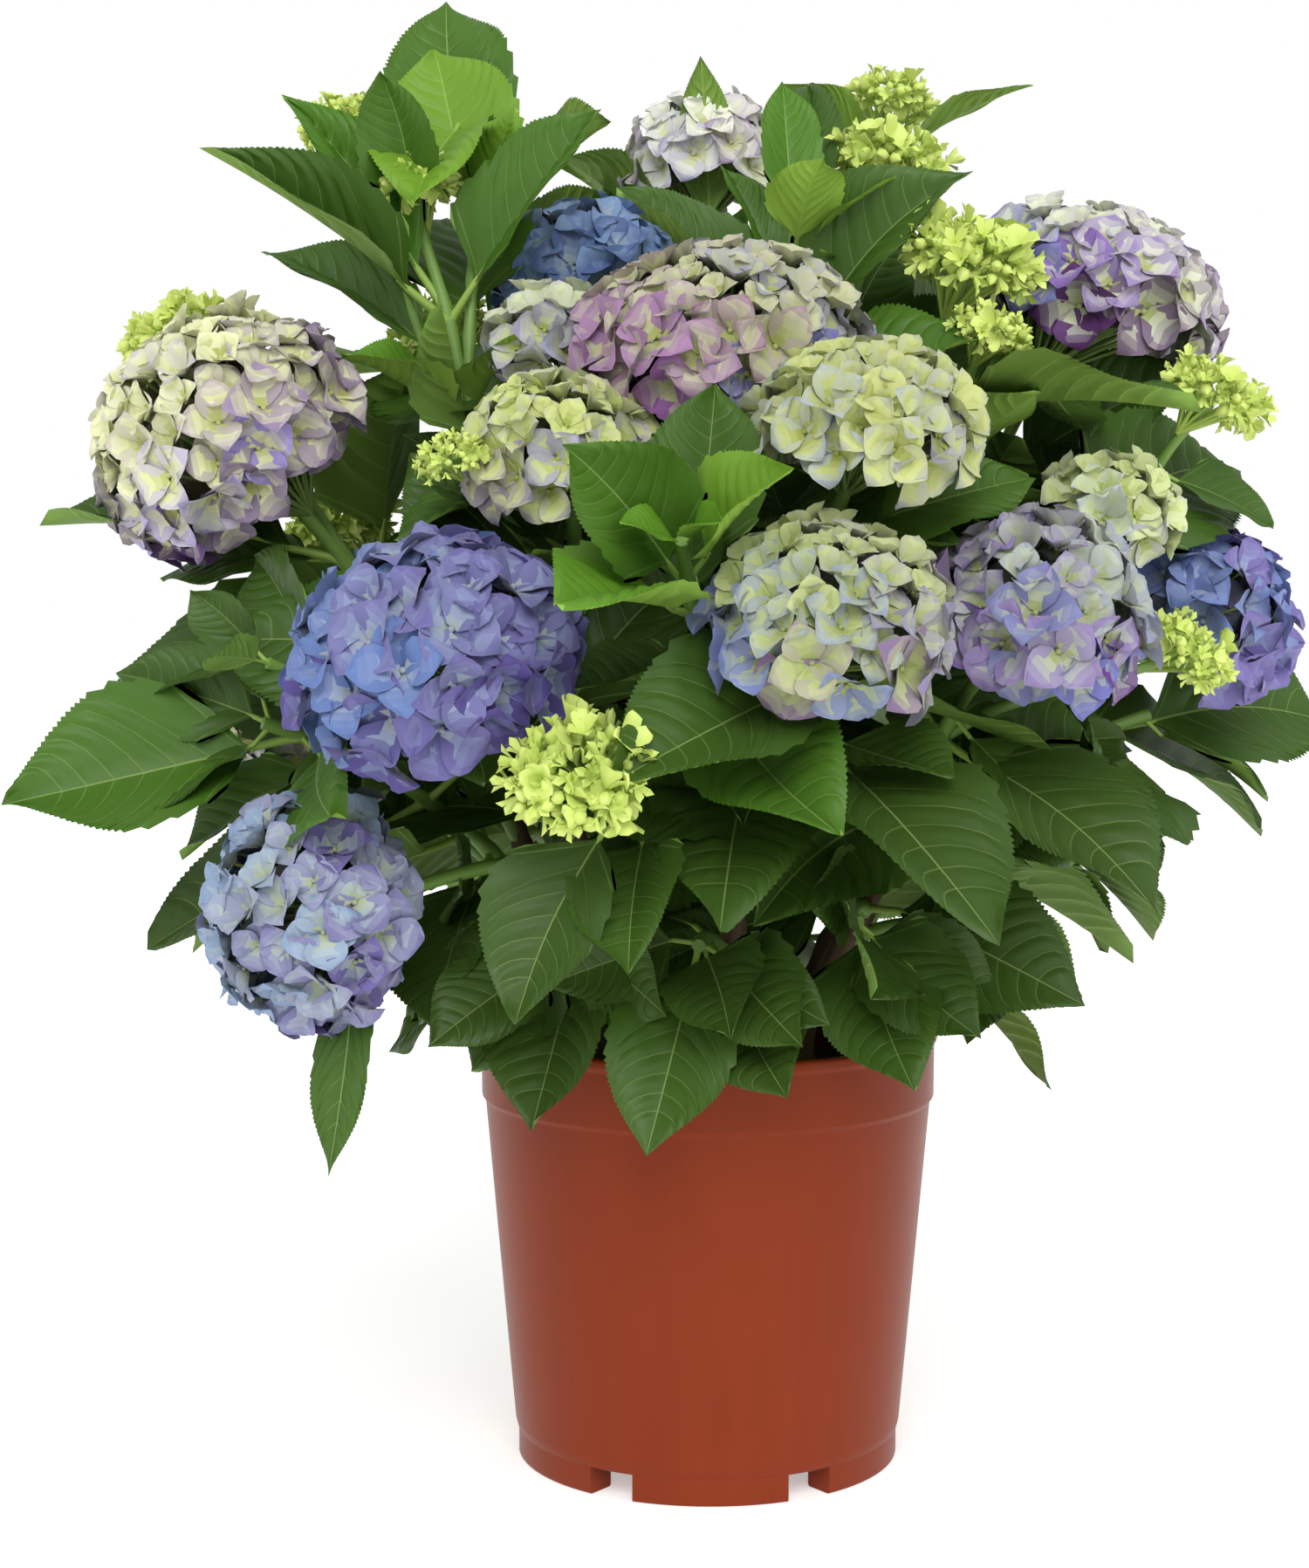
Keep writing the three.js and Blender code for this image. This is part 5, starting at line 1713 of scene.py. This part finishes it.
def build_stage(options):
    camera = link(bpy.data.objects.new("camera", bpy.data.cameras.new("camera")))
    camera.location = options.camera_place
    camera.rotation_euler = (math.pi / 2 - options.camera_pitch, 0, 0)
    camera.data.lens = options.camera_lens
    camera.data.sensor_width = SENSOR_WIDTH
    bpy.context.scene.camera = camera
    bpy.context.scene.view_settings.view_transform = "Standard"
    corners = [(x * FLOOR_SIZE, y * FLOOR_SIZE, 0) for x, y in ((-1, -1), (1, -1), (1, 1), (-1, 1))]
    glow = {"Emission Color": (1, 1, 1, 1), "Emission Strength": FLOOR_GLOW}
    paint = plain("floor", options.floor_colour, 0.8, glow)
    floor = mesh_object("floor", corners, [(0, 1, 2, 3)], [paint])
    world = bpy.data.worlds.new("studio")
    world.use_nodes = True
    tree = Tree(world.node_tree)
    seen = tree.add("ShaderNodeLightPath", None, None, out="Is Camera Ray")
    strength = seen * (1 - options.sky) + options.sky
    background = world.node_tree.nodes["Background"]
    background.inputs["Color"].default_value = (1, 1, 1, 1)
    world.node_tree.links.new(strength.socket, background.inputs["Strength"])
    bpy.context.scene.world = world
    add_light("key light", "AREA", options.key, (1.5, -1.6, 1.5), (0.35, 1.9))
    add_light("fill light", "AREA", options.key * FILL_SHARE, (-1.7, -1.3, 1.2), (0.3, 1.9))
    add_light("day light", "SUN", options.sun, (0.0, -2.0, 1.9))


def add_light(name, kind, power, spot, size=None):
    """A soft light that looks at the middle of the plant."""
    data = bpy.data.lights.new(name, kind)
    data.energy = power
    if kind == "SUN":
        data.angle = math.radians(35)
    else:
        data.shape = "RECTANGLE"
        data.size, data.size_y = size
    light = link(bpy.data.objects.new(name, data))
    light.location = spot
    light.rotation_euler = (Vector(LIT_POINT) - Vector(spot)).to_track_quat("-Z", "Y").to_euler()


# ---- sizes and colours that a user would change ----
def length_property(name, description, default):
    return bpy.props.FloatProperty(
        name=name, description=description, default=default, min=0.0, unit="LENGTH", precision=4
    )


def share_property(name, description, default):
    return bpy.props.FloatProperty(name=name, description=description, default=default, min=0.0, max=2.0)


def light_property(name, description, default):
    return bpy.props.FloatProperty(name=name, description=description, default=default, min=0.0)


def count_property(name, description, default):
    return bpy.props.IntProperty(name=name, description=description, default=default, min=1)


def colour_property(name, description, hexadecimal):
    colour = linear(hexadecimal)
    return bpy.props.FloatVectorProperty(
        name=name, description=description, default=colour, size=4, min=0, max=1, subtype="COLOR"
    )


class HydrangeaPotOptions(bpy.types.PropertyGroup):
    colour: colour_property("Colour", "Colour of the pot's plastic", "7d2e0f")
    bead: length_property("Bead", "Height of the thickened band at the rim's edge", 0.005)
    relief: length_property("Relief", "Height of the compost's lumps", 0.0035)
    crumbs: count_property("Crumbs", "Number of loose chips of bark", 900)


class HydrangeaStemOptions(bpy.types.PropertyGroup):
    bark_relief: length_property("Bark relief", "Depth of the furrows in the canes' bark", 0.0011)
    stem_colour: colour_property("Stems", "Colour of the green stems", "6f9440")


class HydrangeaLeafOptions(bpy.types.PropertyGroup):
    width_share: share_property("Width", "Width of a blade as a share of its length", 0.7)
    thickness: length_property("Thickness", "Thickness of a blade", 0.0006)
    pucker: share_property("Pucker", "Unevenness of the blades as a share of the length", 0.006)
    quilting: share_property("Quilting", "Swelling between side veins as a share of the length", 0.011)
    deep: colour_property("Deep", "Upper side of the oldest leaves", "3a541d")
    green: colour_property("Green", "Upper side of grown leaves", "426320")
    fresh: colour_property("Fresh", "Upper side of younger leaves", "50801e")
    lime: colour_property("Lime", "Upper side of the youngest leaves", "7ea632")
    vein_colour: colour_property("Veins", "What the veins pale towards", "b4cc78")
    under_deep: colour_property("Old underside", "Lower side of the oldest leaves", "66853c")
    under_lime: colour_property("Young underside", "Lower side of the youngest leaves", "98c04a")
    stalk_colour: colour_property("Stalks", "Colour of the leaf stalks", "8fb04c")


class HydrangeaBloomOptions(bpy.types.PropertyGroup):
    spacing: share_property("Spacing", "Distance between florets as a share of their width", 0.57)
    stalk_colour: colour_property("Stalks", "Colour of the florets' stalks", "86a156")


class HydrangeaBudOptions(bpy.types.PropertyGroup):
    colour: colour_property("Colour", "Colour of the unopened buds", "cfe078")
    branch_colour: colour_property("Branches", "Colour of the branches in a cluster", "a8c25a")
    umbels: count_property("Umbels", "Groups in a cluster 54 mm wide", 17)
    buds_each: count_property("Buds", "Buds in each group", 9)
    opened: share_property("Opened", "Share of the buds that show four green sepals", 0.6)
    ripe: share_property("Ripe", "Share of the buds that have grown to twice the size", 0.05)


class HydrangeaStageOptions(bpy.types.PropertyGroup):
    camera_place: bpy.props.FloatVectorProperty(
        name="Camera",
        description="Where the camera stands",
        default=(-0.0267, -1.397, 0.441),
        subtype="TRANSLATION",
        unit="LENGTH",
    )
    camera_pitch: bpy.props.FloatProperty(
        name="Pitch", description="How far the camera looks down", default=0.074, subtype="ANGLE"
    )
    camera_lens: bpy.props.FloatProperty(
        name="Lens", description="Focal length in millimetres on a 36 mm sensor", default=64.33
    )
    floor_colour: colour_property("Floor", "Colour of the floor", "f2f2f0")
    key: light_property("Key light", "Watts of the main light", 10)
    sun: light_property("Day light", "Strength of the soft light from the front and above", 1.6)
    sky: light_property("Sky", "Strength of the light from all round", 0.62)


class HydrangeaOperator:
    """What the operators share."""

    bl_options = {"REGISTER", "UNDO"}


class HYDRANGEA_OT_stage(HydrangeaOperator, bpy.types.Operator):
    """Adds the camera, the floor and the lights"""

    bl_idname = "hydrangea.stage"
    bl_label = "Stage"

    def execute(self, context):
        build_stage(context.scene.hydrangea_stage)
        return {"FINISHED"}


class HYDRANGEA_OT_pot(HydrangeaOperator, bpy.types.Operator):
    """Makes the pot with its rim, ledge and feet"""

    bl_idname = "hydrangea.pot"
    bl_label = "Pot"

    def execute(self, context):
        build_pot(context.scene.hydrangea_pot)
        return {"FINISHED"}


class HYDRANGEA_OT_compost(HydrangeaOperator, bpy.types.Operator):
    """Fills the pot with compost and loose chips of bark"""

    bl_idname = "hydrangea.compost"
    bl_label = "Compost"

    def execute(self, context):
        build_compost(context.scene.hydrangea_pot)
        return {"FINISHED"}


class HYDRANGEA_OT_canes(HydrangeaOperator, bpy.types.Operator):
    """Grows the woody canes with furrowed bark"""

    bl_idname = "hydrangea.canes"
    bl_label = "Canes"

    def execute(self, context):
        build_canes(context.scene.hydrangea_stems)
        return {"FINISHED"}


class HYDRANGEA_OT_stems(HydrangeaOperator, bpy.types.Operator):
    """Grows the green stems from the canes"""

    bl_idname = "hydrangea.stems"
    bl_label = "Stems"

    def execute(self, context):
        build_stems(context.scene.hydrangea_stems)
        return {"FINISHED"}


class HYDRANGEA_OT_leaves(HydrangeaOperator, bpy.types.Operator):
    """Grows the toothed and veined leaves in eight tones of green"""

    bl_idname = "hydrangea.leaves"
    bl_label = "Leaves"

    def execute(self, context):
        build_leaves(context.scene.hydrangea_leaves)
        return {"FINISHED"}


class HYDRANGEA_OT_blooms(HydrangeaOperator, bpy.types.Operator):
    """Grows the blooms, each a dome of florets on their stalks"""

    bl_idname = "hydrangea.blooms"
    bl_label = "Blooms"

    def execute(self, context):
        build_blooms(context.scene.hydrangea_blooms)
        return {"FINISHED"}


class HYDRANGEA_OT_buds(HydrangeaOperator, bpy.types.Operator):
    """Grows the clusters of unopened buds"""

    bl_idname = "hydrangea.buds"
    bl_label = "Buds"

    def execute(self, context):
        build_buds(context.scene.hydrangea_buds)
        return {"FINISHED"}


OPTIONS = {
    "hydrangea_stage": HydrangeaStageOptions,
    "hydrangea_pot": HydrangeaPotOptions,
    "hydrangea_stems": HydrangeaStemOptions,
    "hydrangea_leaves": HydrangeaLeafOptions,
    "hydrangea_blooms": HydrangeaBloomOptions,
    "hydrangea_buds": HydrangeaBudOptions,
}
OPERATORS = [
    HYDRANGEA_OT_stage,
    HYDRANGEA_OT_pot,
    HYDRANGEA_OT_compost,
    HYDRANGEA_OT_canes,
    HYDRANGEA_OT_stems,
    HYDRANGEA_OT_leaves,
    HYDRANGEA_OT_blooms,
    HYDRANGEA_OT_buds,
]


class HYDRANGEA_PT_panel(bpy.types.Panel):
    """Lists the sizes, the colours and the operators"""

    bl_idname = "HYDRANGEA_PT_panel"
    bl_label = "Hydrangea"
    bl_space_type = "VIEW_3D"
    bl_region_type = "UI"
    bl_category = "Hydrangea"

    def draw(self, context):
        for operator in OPERATORS:
            self.layout.operator(operator.bl_idname)
        for name, group in OPTIONS.items():
            box = self.layout.box()
            for setting in group.__annotations__:
                box.prop(getattr(context.scene, name), setting)


def register():
    for name, group in OPTIONS.items():
        bpy.utils.register_class(group)
        setattr(bpy.types.Scene, name, bpy.props.PointerProperty(type=group))
    for operator in OPERATORS:
        bpy.utils.register_class(operator)
    bpy.utils.register_class(HYDRANGEA_PT_panel)


def unregister():
    bpy.utils.unregister_class(HYDRANGEA_PT_panel)
    for operator in reversed(OPERATORS):
        bpy.utils.unregister_class(operator)
    for name, group in reversed(OPTIONS.items()):
        delattr(bpy.types.Scene, name)
        bpy.utils.unregister_class(group)


def main():
    register()
    bpy.ops.hydrangea.stage()
    bpy.ops.hydrangea.pot()
    bpy.ops.hydrangea.compost()
    bpy.ops.hydrangea.canes()
    bpy.ops.hydrangea.stems()
    bpy.ops.hydrangea.leaves()
    bpy.ops.hydrangea.blooms()
    bpy.ops.hydrangea.buds()
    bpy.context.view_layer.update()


if __name__ == "__main__":
    main()
